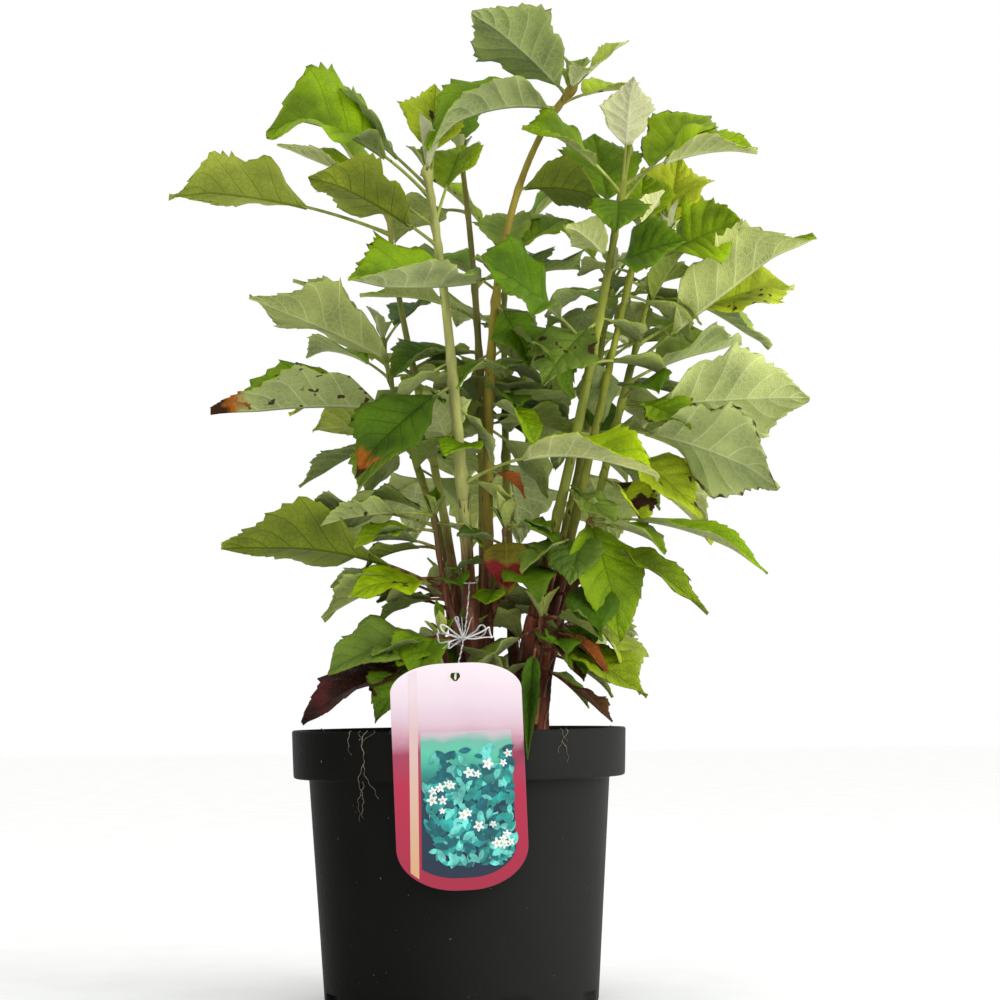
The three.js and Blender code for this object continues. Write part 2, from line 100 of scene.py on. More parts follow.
# A part is a dictionary of points, quads, triangles and the material slot of each face.
def part(points, quads, triangles=None, slots=0, endSlots=0, flat=False, plane=0.0, share=0.0, shade=0.5):
    triangles = np.zeros((0, 3), int) if triangles is None else triangles
    points = np.asarray(points, float).reshape(-1, 3)
    return dict(
        points=points, quads=quads, triangles=triangles, flat=np.broadcast_to(flat, len(quads)),
        slots=np.broadcast_to(slots, len(quads)), endSlots=np.broadcast_to(endSlots, len(triangles)),
        plane=np.broadcast_to(plane, (len(points), 2)), share=np.broadcast_to(share, (len(points), 2)),
        shade=np.broadcast_to(shade, len(points)),
    )


def gridQuads(rows, columns, wrap=False):  # index quads of a grid, wrapped across its columns if asked
    j, i = np.meshgrid(np.arange(rows - 1), np.arange(columns if wrap else columns - 1), indexing="ij")
    i, after = i.ravel(), (i.ravel() + 1) % columns
    j = j.ravel() * columns
    return np.stack([j + i, j + after, j + columns + after, j + columns + i], 1)


def endFans(rows, ring):  # triangles from a wrapped grid's end rings to the two points that follow it
    k = np.arange(ring)
    after = (k + 1) % ring
    last = (rows - 1) * ring
    first, second = np.full(ring, rows * ring), np.full(ring, rows * ring + 1)
    return np.concatenate([np.stack([after, k, first], 1), np.stack([last + k, last + after, second], 1)])


def outward(piece):  # turns every face if the volume under the faces is negative
    p, q = piece["points"], piece["quads"]
    triangles = np.concatenate([q[:, [0, 1, 2]], q[:, [0, 2, 3]], piece["triangles"]])
    a, b, c = (p[triangles[:, k]] for k in range(3))
    if (a * np.cross(b, c)).sum() < 0:
        piece["quads"], piece["triangles"] = q[:, ::-1], piece["triangles"][:, ::-1]
    return piece


def joined(parts):
    starts = np.cumsum([0] + [len(p["points"]) for p in parts[:-1]])
    whole = {key: np.concatenate([p[key] for p in parts]) for key in parts[0]}
    for key in ("quads", "triangles"):
        whole[key] = np.concatenate([p[key] + s for p, s in zip(parts, starts)])
    return whole


def addMesh(name, parts, materials, nodes=(), smooth=True, mapped=False):
    whole = joined(parts)
    quads, triangles = whole["quads"], whole["triangles"]
    corners = np.concatenate([quads.ravel(), triangles.ravel()]).astype(np.int32)
    starts = np.concatenate([np.arange(len(quads)) * 4, quads.size + np.arange(len(triangles)) * 3])
    slots = np.concatenate([whole["slots"], whole["endSlots"]])
    rounded = np.concatenate([~whole["flat"], np.ones(len(triangles), bool)]) & smooth
    mesh = bpy.data.meshes.new(name)
    mesh.vertices.add(len(whole["points"]))
    mesh.vertices.foreach_set("co", (whole["points"] * mm).ravel().astype(np.float32))
    mesh.loops.add(len(corners))
    mesh.loops.foreach_set("vertex_index", corners)
    mesh.polygons.add(len(starts))
    mesh.polygons.foreach_set("loop_start", starts.astype(np.int32))
    for material in materials:
        mesh.materials.append(material)
    mesh.polygons.foreach_set("material_index", slots.astype(np.int32))
    mesh.polygons.foreach_set("use_smooth", rounded)
    if mapped:  # where each corner lies on its own blade, and how light its leaf is
        for layer, key in (("leafPlane", "plane"), ("leafShare", "share")):
            spots = whole[key][corners].astype(np.float32)
            mesh.uv_layers.new(name=layer).data.foreach_set("uv", spots.ravel())
        shades = mesh.attributes.new("leafShade", "FLOAT", "POINT").data
        shades.foreach_set("value", whole["shade"].astype(np.float32))
    mesh.update(calc_edges=True)
    mesh.validate()
    made = bpy.data.objects.new(name, mesh)
    bpy.context.scene.collection.objects.link(made)
    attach(made, "root")
    if nodes:
        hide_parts(*nodes)


# A closed tube: rings of radius r(t, turn) set square to a path, each end closed to a middle point.
def tube(path, radius, sides=12, across=(1, 0, 0), slot=0, ends=0.0):
    path, radius = np.asarray(path, float), np.asarray(radius, float)
    count = len(path)
    along = unit(np.gradient(path, axis=0))
    first, second = squareTo(along, across)
    turn = np.linspace(0, fullTurn, sides, endpoint=False)
    radius = np.broadcast_to(radius[:, None] if radius.ndim == 1 else radius, (count, sides))[..., None]
    ring = np.cos(turn)[None, :, None] * first[:, None] + np.sin(turn)[None, :, None] * second[:, None]
    points = (path[:, None] + ring * radius).reshape(-1, 3)
    start, end = (ends * radius[k].mean() * along[k] for k in (0, -1))
    tips = np.array([path[0] - start, path[-1] + end])
    points = np.concatenate([points, tips])
    return outward(part(points, gridQuads(count, sides, True), endFans(count, sides), slot, slot))


# A flat prism: an outline in the x-z plane at two depths, each face fanned from its middle.
def prism(outline, front, back, slot=0, dome=0.0):
    count = len(outline)
    x, z = outline.mean(0)
    faces = [np.stack([outline[:, 0], np.full(count, y), outline[:, 1]], 1) for y in (front, back)]
    points = np.concatenate([*faces, [[x, front - dome, z], [x, back, z]]])
    return outward(part(points, gridQuads(2, count, True), endFans(2, count), slot, slot, flat=True))


def node(tree, kind, sockets=(), **settings):
    made = tree.nodes.new("ShaderNode" + kind)
    for key, value in settings.items():
        setattr(made, key, value)
    for key, value in dict(sockets).items():
        if isinstance(value, bpy.types.NodeSocket):
            tree.links.new(value, made.inputs[key])
        else:
            made.inputs[key].default_value = value
    return made


def newPaint(name, specular):
    made = bpy.data.materials.new(name)
    made.use_nodes = True
    shader = made.node_tree.nodes["Principled BSDF"]
    shader.inputs["Specular IOR Level"].default_value = specular
    return made, made.node_tree, shader, node(made.node_tree, "TexCoord").outputs["Object"]


def noise(tree, place, scale, detail=2.0, roughness=0.5):
    return node(tree, "TexNoise", {
        "Vector": place, "Scale": scale, "Detail": detail, "Roughness": roughness}).outputs["Fac"]


def ranged(tree, value, low, high, first=0.0, last=1.0):
    return node(tree, "MapRange", {
        "Value": value, "From Min": low, "From Max": high, "To Min": first, "To Max": last}).outputs["Result"]


def maths(tree, kind, a, b):
    return node(tree, "Math", {0: a, 1: b}, operation=kind).outputs[0]


def blended(tree, under, over, factor):
    over = over if isinstance(over, bpy.types.NodeSocket) else linear(over)
    return node(tree, "Mix", {"Factor": factor, 6: under, 7: over}, data_type="RGBA").outputs[2]


def ramp(tree, factor, stops):  # colour stops as (place, colour)
    made = node(tree, "ValToRGB", {"Fac": factor})
    edge = made.color_ramp.elements
    while len(edge) < len(stops):
        edge.new(0.5)
    for element, (place, colour) in zip(edge, stops):
        element.position, element.color = place, linear(colour)
    return made.outputs["Color"]


# 0 to last as one coordinate, moved to and fro by a cloud, passes from low to high (in metres).
def wandering(tree, place, axis, cloud, wander, low, high, last=1.0):
    value = node(tree, "SeparateXYZ", {"Vector": place}).outputs[axis]
    value = maths(tree, "ADD", value, ranged(tree, cloud, 0, 1, -wander, wander))
    return ranged(tree, value, low, high, 0.0, last)


# A finish: a base colour with two shades of noise over it, a roughness that varies and a fine bump.
def finish(name, colour, shade=0.12, grain=18.0, rough=0.55, specular=0.35, bump=0.0, bumpScale=400.0,
           stretch=(1, 1, 1), marks=None):
    made, tree, shader, place = newPaint(name, specular)
    place = node(tree, "Mapping", {"Vector": place, "Scale": stretch}).outputs["Vector"]
    cloud = noise(tree, place, grain, 4.0, 0.6)
    tones = [tuple(min(255, c * k) for c in colour) for k in (1 - 1.4 * shade, 1 - 0.3 * shade, 1 + shade)]
    colours = ramp(tree, cloud, [(0.32, tones[0]), (0.5, tones[1]), (0.7, tones[2])])
    if marks:  # scattered marks: where a noise passes a share, the paint has another colour
        share = ranged(tree, noise(tree, place, marks["scale"]), marks["from"], marks["from"] + marks["edge"])
        colours = blended(tree, colours, marks["colour"], share)
    tree.links.new(colours, shader.inputs["Base Color"])
    tree.links.new(ranged(tree, cloud, 0, 1, rough - 0.08, rough + 0.08), shader.inputs["Roughness"])
    if bump:
        fine = noise(tree, place, bumpScale, 3.0)
        relief = node(tree, "Bump", {"Height": fine, "Strength": bump, "Distance": 0.0006})
        tree.links.new(relief.outputs["Normal"], shader.inputs["Normal"])
    return made


# Lays another colour over a finish's own where a factor says so.
def overlaid(made, over, factor, swapped=False):
    shader = made.node_tree.nodes["Principled BSDF"]
    own = shader.inputs["Base Color"].links[0].from_socket
    under, over = (over, own) if swapped else (own, over)
    made.node_tree.links.new(blended(made.node_tree, under, over, factor), shader.inputs["Base Color"])


# A leaf finish: broad clouds and each leaf's own shade over the base colour, a net of small veins drawn by
# the distance to the edges of cells on the blade, a paler margin, browned teeth, and a bump that puffs the
# cells. leafPlane is the place on the blade, leafShare how near it is to the margin and to the tip.
def leafFinish(name, colour, net, netShare, shade, rough, specular, bump, sheen, marks):
    made, tree, shader, place = newPaint(name, specular)
    plane = node(tree, "UVMap", uv_map="leafPlane").outputs["UV"]
    toEdge, toTip, _ = node(tree, "SeparateXYZ", {
        "Vector": node(tree, "UVMap", uv_map="leafShare").outputs["UV"]}).outputs
    cells = lambda scale: node(
        tree, "TexVoronoi", {"Vector": plane, "Scale": scale}, feature="DISTANCE_TO_EDGE",
        voronoi_dimensions="2D").outputs["Distance"]
    red, green, blue = colour
    tone = lambda k, warm: (min(255, red * k + warm), min(255, green * k + 0.6 * warm), blue * k)
    cloud, wide, narrow = noise(tree, place, 42.0, 3.0), cells(10.0), cells(31.0)
    stops = [(0.3, tone(1 - shade, -3)), (0.5, tone(1, 0)), (0.72, tone(1 + 0.8 * shade, 5))]
    colours = ramp(tree, cloud, stops)
    lines = maths(tree, "MAXIMUM", ranged(tree, wide, 0.015, 0.15, netShare, 0.0),
                  ranged(tree, narrow, 0.02, 0.2, 0.5 * netShare, 0.0))
    colours = blended(tree, colours, net, lines)
    colours = blended(tree, colours, tone(1.14, 8), ranged(tree, toEdge, 0.55, 1.0, 0.0, 0.5))
    own = node(tree, "Attribute", attribute_name="leafShade").outputs["Fac"]
    colours = node(tree, "HueSaturation", {
        "Hue": ranged(tree, own, 0, 1, 0.512, 0.49), "Value": ranged(tree, own, 0, 1, 0.78, 1.2),
        "Color": colours}).outputs["Color"]
    drift, spots, blots = noise(tree, place, 160.0), noise(tree, place, 120.0), noise(tree, place, 48.0)
    ragged = maths(tree, "ADD", toEdge, maths(tree, "MULTIPLY", drift, 0.5))
    near = maths(tree, "ADD", toTip, maths(tree, "MULTIPLY", spots, 0.2))
    atEdge = ranged(tree, toEdge, 0.95, 1.0, 0.0, 0.7)
    teeth = maths(tree, "MULTIPLY", atEdge, ranged(tree, drift, 0.55, 0.65))
    blemishes = [  # mark, colour, and the value that it grows with, from where and to where, and how strong
        ("spots", brownMark, spots, 0.63, 0.66, 0.95), ("edge", brownMark, ragged, 1.2, 1.28, 0.95),
        ("tip", rustMark, near, 0.9, 0.97, 1.0), ("tip", brownMark, near, 1.0, 1.04, 1.0),
        ("blotch", brownMark, noise(tree, place, 75.0, 3.0), 0.5, 0.54, 1.0),
        ("wine", wineMark, blots, 0.52, 0.62, 1.0), ("red", redMark, blots, 0.55, 0.62, 1.0),
    ]
    colours = blended(tree, colours, brownMark, teeth)
    for mark, markColour, value, low, high, strength in blemishes:
        if mark in marks:
            colours = blended(tree, colours, markColour, ranged(tree, value, low, high, 0.0, strength))
    tree.links.new(colours, shader.inputs["Base Color"])
    tree.links.new(ranged(tree, cloud, 0, 1, rough - 0.1, rough + 0.1), shader.inputs["Roughness"])
    shader.inputs["Sheen Weight"].default_value = sheen
    puffs = maths(tree, "ADD", wide, narrow)
    relief = node(tree, "Bump", {"Height": puffs, "Strength": bump, "Distance": 0.0012})
    tree.links.new(relief.outputs["Normal"], shader.inputs["Normal"])
    return made


view = {"place": (25, -1400, 172), "tilt": 4.55, "roll": 0.7, "lens": 88, "sensor": 36, "far": 50}
studio = {  # the floor's reach, the lamp's size and the lamp's power are in metres and watts
    "world": 1.0, "floor": (253, 253, 252), "floorReach": 6.0, "key": 14.0, "keySize": 1.2,
    "keyPlace": (1300, -700, 700), "keyAim": (20, 0, 300),
}


def makeCamera():
    tilt, roll = math.radians(view["tilt"]), math.radians(view["roll"])
    right0, up0 = Vector((1, 0, 0)), Vector((0, -math.sin(tilt), math.cos(tilt)))
    ahead = Vector((0, math.cos(tilt), math.sin(tilt)))
    right = math.cos(roll) * right0 - math.sin(roll) * up0
    up = math.sin(roll) * right0 + math.cos(roll) * up0
    camera = bpy.data.objects.new("camera", bpy.data.cameras.new("camera"))
    camera.data.lens = view["lens"]
    camera.data.sensor_width = view["sensor"]
    camera.data.clip_end = view["far"]
    turn = Matrix((right, up, -ahead)).transposed().to_4x4()
    camera.matrix_world = Matrix.Translation(Vector(view["place"]) * mm) @ turn
    bpy.context.scene.collection.objects.link(camera)
    bpy.context.scene.camera = camera


def makeStudio():
    world = bpy.data.worlds.new("studio")
    world.use_nodes = True
    sky = world.node_tree.nodes["Background"].inputs
    sky["Color"].default_value = (1, 1, 1, 1)
    sky["Strength"].default_value = studio["world"]
    bpy.context.scene.world = world
    bpy.context.scene.view_settings.view_transform = "Standard"
    key = bpy.data.objects.new("key", bpy.data.lights.new("key", "AREA"))
    key.data.energy = studio["key"]
    key.data.size = studio["keySize"]
    key.location = Vector(studio["keyPlace"]) * mm
    aim = Vector(studio["keyAim"]) * mm - key.location
    key.rotation_euler = aim.to_track_quat("-Z", "Y").to_euler()
    bpy.context.scene.collection.objects.link(key)
    floor = bpy.data.meshes.new("floor")
    corners = [(x, y, 0) for x, y in ((-1, -1), (1, -1), (1, 1), (-1, 1))]
    floor.from_pydata([Vector(corner) * studio["floorReach"] for corner in corners], [], [(0, 1, 2, 3)])
    floor.materials.append(finish("floorPaint", studio["floor"], shade=0.01, rough=0.9, specular=0.1))
    ground = bpy.data.objects.new("floor", floor)
    bpy.context.scene.collection.objects.link(ground)


makeCamera()
makeStudio()
print("camera and studio")

gap, soilLevel = 0.3, 138  # air between the solids, and the height of the peat
stems = {
    "front_left": dict(stool="left", ground=(11, -4), girth=(3.9, 1.9), leafy=283,
                       curve=[(9, -6, 205), (3, -16, 299), (-2, -20, 394), (-15, -24, 473)]),
    "centre": dict(stool="left", ground=(18, 1), girth=(3.3, 1.6), leafy=316,
                   curve=[(17, 6, 205), (20, 6, 318), (9, 2, 458), (72, -6, 524)]),
    "back_centre": dict(stool="left", ground=(16, 9), girth=(2.9, 1.4), leafy=322,
                        curve=[(14, 19, 212), (17, 28, 325), (14, 26, 415), (4, 20, 491)]),
    "left": dict(stool="left", ground=(8, 6), girth=(2.9, 1.3), leafy=306,
                 curve=[(1, 18, 212), (-10, 34, 318), (-36, 38, 389), (-39, 34, 459)]),
    "back_left": dict(stool="left", ground=(9, 13), girth=(2.6, 1.3), leafy=296,
                      curve=[(2, 31, 212), (-12, 62, 290), (-38, 84, 330), (-46, 90, 392)]),
    "front_right": dict(stool="right", ground=(37, -3), girth=(3.5, 1.6), leafy=350,
                        curve=[(43, -5, 216), (66, -12, 299), (86, -15, 395), (102, -16, 486)]),
    "right": dict(stool="right", ground=(43, 2), girth=(3.1, 1.4), leafy=396,
                  curve=[(54, 6, 216), (77, 4, 306), (92, 2, 375), (109, 6, 440)]),
    "far_right": dict(stool="right", ground=(46, 9), girth=(2.9, 1.3), leafy=297,
                      curve=[(61, 19, 222), (92, 22, 305), (96, 20, 354), (126, 12, 438)]),
    "back_right": dict(stool="right", ground=(40, 11), girth=(2.9, 1.4), leafy=306,
                       curve=[(48, 30, 216), (72, 66, 290), (84, 76, 360), (96, 80, 428)]),
    "back": dict(stool="right", ground=(34, 8), girth=(2.8, 1.3), leafy=306,
                 curve=[(31, 27, 216), (28, 72, 300), (28, 92, 380), (30, 96, 448)]),
}
shoots = {
    "low_left": dict(girth=(2.2, 1.2), curve=[(6, -2, 196), (-4, -2, 214), (-10, 0, 240), (-13, 2, 276)]),
    "lowest_left": dict(girth=(2.2, 1.2),
                        curve=[(10, -4, 160), (0, -10, 170), (-7, -14, 186), (-9, -16, 206)]),
    "low_right": dict(girth=(2.2, 1.2), curve=[(50, 2, 204), (64, -6, 220), (74, -10, 244), (76, -12, 272)]),
    "lowest_right": dict(girth=(2.2, 1.2),
                         curve=[(38, -4, 172), (44, -14, 180), (47, -18, 196), (48, -20, 216)]),
    "low_front": dict(girth=(2, 1.1), curve=[(18, 2, 214), (24, -6, 226), (27, -9, 246), (28, -10, 268)]),
    "low_back_left": dict(girth=(2, 1.1), curve=[(6, 20, 176), (0, 32, 190), (-6, 42, 208), (-8, 46, 236)]),
    "low_back_right": dict(girth=(2, 1.1),
                           curve=[(42, 20, 180), (52, 32, 196), (60, 40, 214), (64, 44, 240)]),
}

# Leaves: height on the stem, heading, reach, rise, width, arch, roll, fold, share that is stalk, and the
# tone, to which +spots, +tip or +edge adds brown marks.
leaves = {
    "front_left": [
        (454, 193, 94, 44, 84, 0.26, 46, 24, 0.30, "bright"),
        (440, 60, 34, 54, 42, 0.10, 0, 25, 0.40, "fresh"),
        (455, 84, 25, 72, 38, 0.06, -10, 16, 0.40, "yellow+spots"),
        (460, 160, 70, 62, 48, 0.06, -14, 20, 0.30, "pale"),
        (438, 187, 90, 46, 34, 0.10, 16, 26, 0.36, "bright"),
        (427, 200, 76, 38, 58, 0.10, -24, 14, 0.24, "olive"),
        (470, 213, 5, 34, 17, 0.10, 0, 40, 0.15, "white"),
        (468, 49, 10, 30, 16, 0.10, 0, 40, 0.15, "white"),
        (297, 150, 24, 53, 36, 0.0, -80, 14, 0.26, "pale"),
        (348, 205, 62, -51, 46, 0.10, 38, 20, 0.18, "deep+tip"),
        (291, 335, 120, -2, 58, 0.26, -8, 34, 0.34, "bright"),
    ],
    "centre": [
        (518, 220, 71, 38, 52, 0.08, -24, 14, 0.10, "grey"),
        (510, 202, 84, -24, 62, 0.20, 6, 42, 0.08, "bright"),
        (414, 231, 130, -20, 68, -0.06, 28, 40, 0.14, "bright"),
        (520, 0, 34, 31, 20, 0.05, -30, 20, 0.30, "young"),
        (521, 60, 20, 24, 15, 0.05, 0, 30, 0.20, "young"),
        (519, 300, 24, 10, 16, 0.15, 0, 30, 0.20, "young"),
        (512, 42, 66, 20, 34, 0.12, -8, 20, 0.34, "fresh+spots"),
        (464, 343, 54, -9, 44, 0.12, 34, 12, 0.08, "olive"),
        (420, 14, 44, 30, 38, 0.12, -20, 18, 0.20, "grey"),
        (424, 80, 34, 34, 36, 0.10, 0, 18, 0.20, "pale"),
        (400, 56, 28, -42, 34, 0.30, 0, 20, 0.25, "mid"),
        (386, 332, 54, -44, 44, 0.22, -10, 20, 0.24, "deep"),
        (346, 24, 54, -14, 46, 0.20, 0, 20, 0.26, "mid"),
        (340, 323, 36, -24, 34, 0.20, 0, 20, 0.22, "bright+round"),
        (354, 290, 30, 2, 26, 0.30, 0, 15, 0.28, "dull"),
        (360, 231, 32, -13, 28, 0.25, 0, 20, 0.20, "mid"),
        (315, 241, 50, -9, 26, 0.14, 10, 14, 0.35, "bright+round"),
        (301, 341, 24, -16, 13, 0.20, 20, 44, 0.30, "rust"),
        (398, 330, 24, -38, 36, 0.12, -20, 12, 0.16, "mid"),
    ],
    "back_centre": [
        (455, 140, 60, -8, 48, 0.25, 0, 22, 0.28, "mid"),
        (482, 110, 34, 50, 40, 0.10, 0, 24, 0.28, "mid"),
        (410, 50, 64, 22, 48, 0.20, 0, 22, 0.28, "deep"),
        (392, 196, 70, 10, 44, 0.20, 0, 22, 0.28, "mid"),
        (372, 200, 56, -14, 46, 0.20, 10, 22, 0.26, "deep"),
        (360, 78, 52, 4, 46, 0.20, 0, 22, 0.26, "mid"),
        (340, 124, 62, -12, 48, 0.20, 0, 22, 0.26, "mid"),
        (334, 12, 58, -12, 46, 0.20, 0, 22, 0.26, "deep"),
    ],
    "left": [
        (445, 181, 131, 28, 58, 0.10, -24, 26, 0.40, "lit"),
        (452, 162, 46, 76, 42, 0.05, 10, 20, 0.28, "bright"),
        (360, 203, 102, 40, 56, 0.08, -28, 24, 0.18, "grey"),
        (337, 196, 126, -4, 66, 0.10, 12, 52, 0.22, "bright+spots+tip"),
        (328, 163, 72, 2, 46, 0.12, -20, 22, 0.26, "yellow"),
        (320, 222, 58, -28, 42, 0.22, 0, 16, 0.20, "grey"),
    ],
    "front_right": [
        (460, 291, 16, 62, 30, 0.04, 0, 10, 0.40, "white"),
        (457, 203, 61, 36, 50, 0.24, 34, 16, 0.28, "mid"),
        (462, 1, 78, 20, 50, 0.20, -16, 34, 0.32, "bright"),
        (451, 33, 67, 63, 48, 0.08, -26, 18, 0.36, "bright+edge"),
        (433, 102, 44, 70, 48, 0.06, 0, 16, 0.34, "mid"),
        (366, 209, 76, 50, 62, 0.14, 44, 14, 0.30, "mid"),
        (453, 262, 26, -24, 34, 0.30, 0, 14, 0.10, "grey"),
        (412, 334, 48, 14, 44, 0.14, -46, 14, 0.12, "mid"),
        (419, 198, 26, 20, 30, 0.14, -20, 18, 0.14, "pale"),
        (289, 336, 32, -24, 34, 0.15, -20, 10, 0.15, "dull"),
        (384, 214, 40, -38, 44, 0.12, 30, 12, 0.16, "dull+spots"),
    ],
    "right": [
        (434, 75, 20, 46, 36, 0.08, -20, 18, 0.20, "bright"),
        (436, 338, 15, 27, 22, 0.10, 0, 28, 0.15, "young"),
    ],
    "far_right": [
        (362, 347, 106, 76, 60, 0.02, 8, 54, 0.26, "grey"),
        (374, 12, 98, 42, 60, 0.10, -40, 18, 0.34, "yellow+spots"),
        (352, 24, 78, 26, 50, 0.12, 0, 36, 0.24, "pale"),
        (424, 352, 48, 20, 62, 0.14, -50, 10, 0.10, "bright"),
        (432, 72, 34, 58, 42, 0.06, -20, 18, 0.24, "yellow"),
        (392, 330, 26, 36, 24, 0.10, 0, 45, 0.20, "deep"),
        (338, 352, 110, 4, 62, 0.02, 48, 10, 0.22, "pale"),
        (328, 339, 100, -38, 62, 0.08, 48, 8, 0.22, "pale+edge"),
        (342, 326, 46, -19, 38, 0.16, -24, 14, 0.24, "mid+edge"),
        (310, 350, 54, -38, 46, 0.30, -30, 10, 0.24, "yellow+spots"),
        (297, 314, 34, -32, 34, 0.20, 0, 44, 0.24, "yellow+blotch"),
        (326, 22, 68, -26, 42, 0.16, -10, 18, 0.30, "yellow"),
    ],
    "back_right": [(412, 355, 96, -34, 42, 0.30, 0, 22, 0.50, "pale")],
    "low_left": [
        (231, 176, 130, 25, 58, 0.18, -30, 24, 0.26, "olive"),
        (269, 170, 84, 10, 36, 0.12, -10, 18, 0.34, "bright"),
        (275, 190, 66, -5, 30, 0.12, -30, 14, 0.36, "grey+spots"),
        (274, 171, 42, 12, 36, 0.20, -10, 16, 0.20, "deep+edge"),
        (266, 199, 49, -9, 32, 0.16, 10, 16, 0.26, "spotted+edge"),
        (256, 172, 46, -10, 34, 0.20, 0, 16, 0.26, "olive+edge"),
        (233, 199, 58, -2, 36, 0.16, 34, 10, 0.16, "bright+spots+round"),
        (238, 169, 72, -21, 46, 0.20, -14, 16, 0.30, "mid"),
        (226, 155, 47, -11, 20, 0.20, 0, 16, 0.30, "deep"),
    ],
    "lowest_left": [
        (205, 193, 66, -18, 48, 0.10, 30, 16, 0.14, "dull+round"),
        (197, 228, 38, -8, 34, 0.25, 20, 20, 0.20, "mid+round"),
        (204, 250, 40, -24, 30, 0.30, 0, 18, 0.26, "mid+round"),
        (184, 230, 64, -24, 40, 0.26, 16, 16, 0.20, "deep+blotch"),
        (180, 199, 88, -23, 46, 0.30, 26, 22, 0.22, "dead"),
    ],
    "low_right": [
        (270, 305, 30, -68, 46, 0.12, -8, 8, 0.05, "mid+round"),
        (254, 342, 70, -39, 26, 0.22, -30, 30, 0.24, "olive+edge"),
        (270, 353, 102, -29, 28, 0.18, -24, 28, 0.28, "bright"),
        (225, 347, 42, -53, 50, 0.20, -12, 14, 0.20, "lit"),
        (262, 250, 34, -30, 34, 0.26, 0, 16, 0.24, "dull"),
    ],
    "lowest_right": [
        (200, 264, 84, -62, 17, 0.40, 0, 48, 0.48, "deep+edge"),
        (196, 334, 64, -28, 40, 0.26, -10, 16, 0.26, "olive"),
        (188, 314, 58, -32, 15, 0.10, 0, 46, 0.50, "brown"),
        (212, 312, 34, -33, 36, 0.20, 0, 16, 0.20, "deep+blotch"),
        (215, 322, 42, -14, 22, 0.20, 0, 44, 0.30, "deep+round+edge"),
        (209, 324, 46, -28, 16, 0.20, 0, 40, 0.30, "rust+edge"),
    ],
    "low_front": [
        (268, 335, 34, -12, 34, 0.20, 0, 12, 0.30, "mid+round"),
        (257, 344, 36, -16, 26, 0.25, 0, 14, 0.30, "deep+round"),
        (262, 274, 20, -33, 28, 0.20, 0, 20, 0.20, "tinted+round"),
        (232, 249, 20, -10, 26, 0.20, 0, 14, 0.25, "bright+round"),
        (246, 190, 30, -4, 22, 0.20, 0, 14, 0.30, "deep"),
        (240, 20, 30, -2, 24, 0.20, 0, 14, 0.30, "dull"),
    ],
}
opening = (20, 50, 78)
pairs = {
    "back": dict(count=6, height=(314, 442), outward=98, reach=(76, 60), rise=(-42, 50), width=0.6, seed=94,
                 omit=(3, 5)),
    "back_left": dict(count=5, height=(304, 386), outward=116, reach=(78, 62), rise=(-40, 42),
                      width=0.56, seed=23),
    "back_right": dict(count=6, height=(314, 422), outward=48, reach=(86, 62), rise=(-42, 44),
                       width=0.56, seed=107),
    "low_back_left": dict(count=2, height=(204, 230), outward=118, reach=(76, 70), rise=(-20, 14),
                          width=0.5, seed=51),
    "low_back_right": dict(count=2, height=(210, 234), outward=66, reach=(72, 64), rise=(-20, 14),
                           width=0.5, seed=67),
}
pairTones = ("mid", "bright", "dull", "mid", "yellow", "dull", "bright", "olive", "mid", "deep", "spotted")

dice = {"times": 16807, "modulus": 2147483647, "throws": 8}


# Pairs of leaves up a stem, each varied by small steps of a simple seeded dice.
def pairedLeaves(count, height, outward, reach, rise, width, seed, omit=()):
    state = seed
    draws = []
    for _ in range(count * 2 * dice["throws"]):
        state = state * dice["times"] % dice["modulus"]
        draws.append(2 * (state / dice["modulus"]) - 1)
    draws = iter(draws)
    rows = []
    for k in range(count):
        share = k / (count - 1)
        for hand in (1, -1):
            length = mix(*reach, share) + 8 * next(draws)
            foot = mix(*height, share) + 2 * next(draws)
            heading = outward + hand * opening[k % 3] + 8 * next(draws)
            rows.append((
                foot, heading, length, mix(*rise, share) + 8 * next(draws), length * width,
                0.2 + 0.06 * next(draws), 12 * next(draws), 22 + 8 * next(draws), 0.28,
                pairTones[len(rows) % len(pairTones)],
            ))
    return [row for k, row in enumerate(rows) if k not in omit]


leafForm = {  # a large blade: its side veins with the rows of one of them, and its columns from side to side
    "veins": 7, "rings": 5, "thick": 0.5, "rib": 0.7, "ribRise": 0.75, "veinRise": 0.38, "quilt": 1.3,
    "rows": (-0.05, 0.05, 0.22, 0.46, 0.58, 0.80), "rowPuff": (0, 0, 0.75, 1, 0.97, 0.6),
    "rowVein": (1, 1, 0, 0, 0, 0),
    "tooth": (0.15, 0.16, -0.05, 0.07, -0.05, 0.05),
    "out": (1, 0.86, 0.68, 0.46, 0.24, 0, 0, 0, 0.24, 0.46, 0.68, 0.86, 1),
    "hand": (-1, -1, -1, -1, -1, -1, 0, 1, 1, 1, 1, 1, 1),
    "puff": (0, 0.45, 0.85, 1, 0.8, 0.1, 0, 0.1, 0.8, 1, 0.85, 0.45, 0),
    "jag": (1, 0.3, 0, 0, 0, 0, 0, 0, 0, 0, 0, 0.3, 1),
    "bend": 0.24, "groove": 0.45, "ragged": (0.3, 1.6), "fullness": (0.9, 1.15), "lobe": (0.05, 0.17),
    "twist": (-0.16, 0.16), "waves": (1.2, 2.6), "waveDepth": (0.025, 0.075), "curl": (-0.06, 0.12),
}
smallForm = dict(  # a small blade of a few faces
    leafForm, veins=5, rows=(0, 0.5), rowPuff=(0, 1), rowVein=(0, 0), tooth=(0.15, -0.06),
    out=(1, 0.5, 0, 0.5, 1), hand=(-1, -1, 0, 1, 1), puff=(0, 1, 0, 1, 0), jag=(1, 0, 0, 0, 1),
)

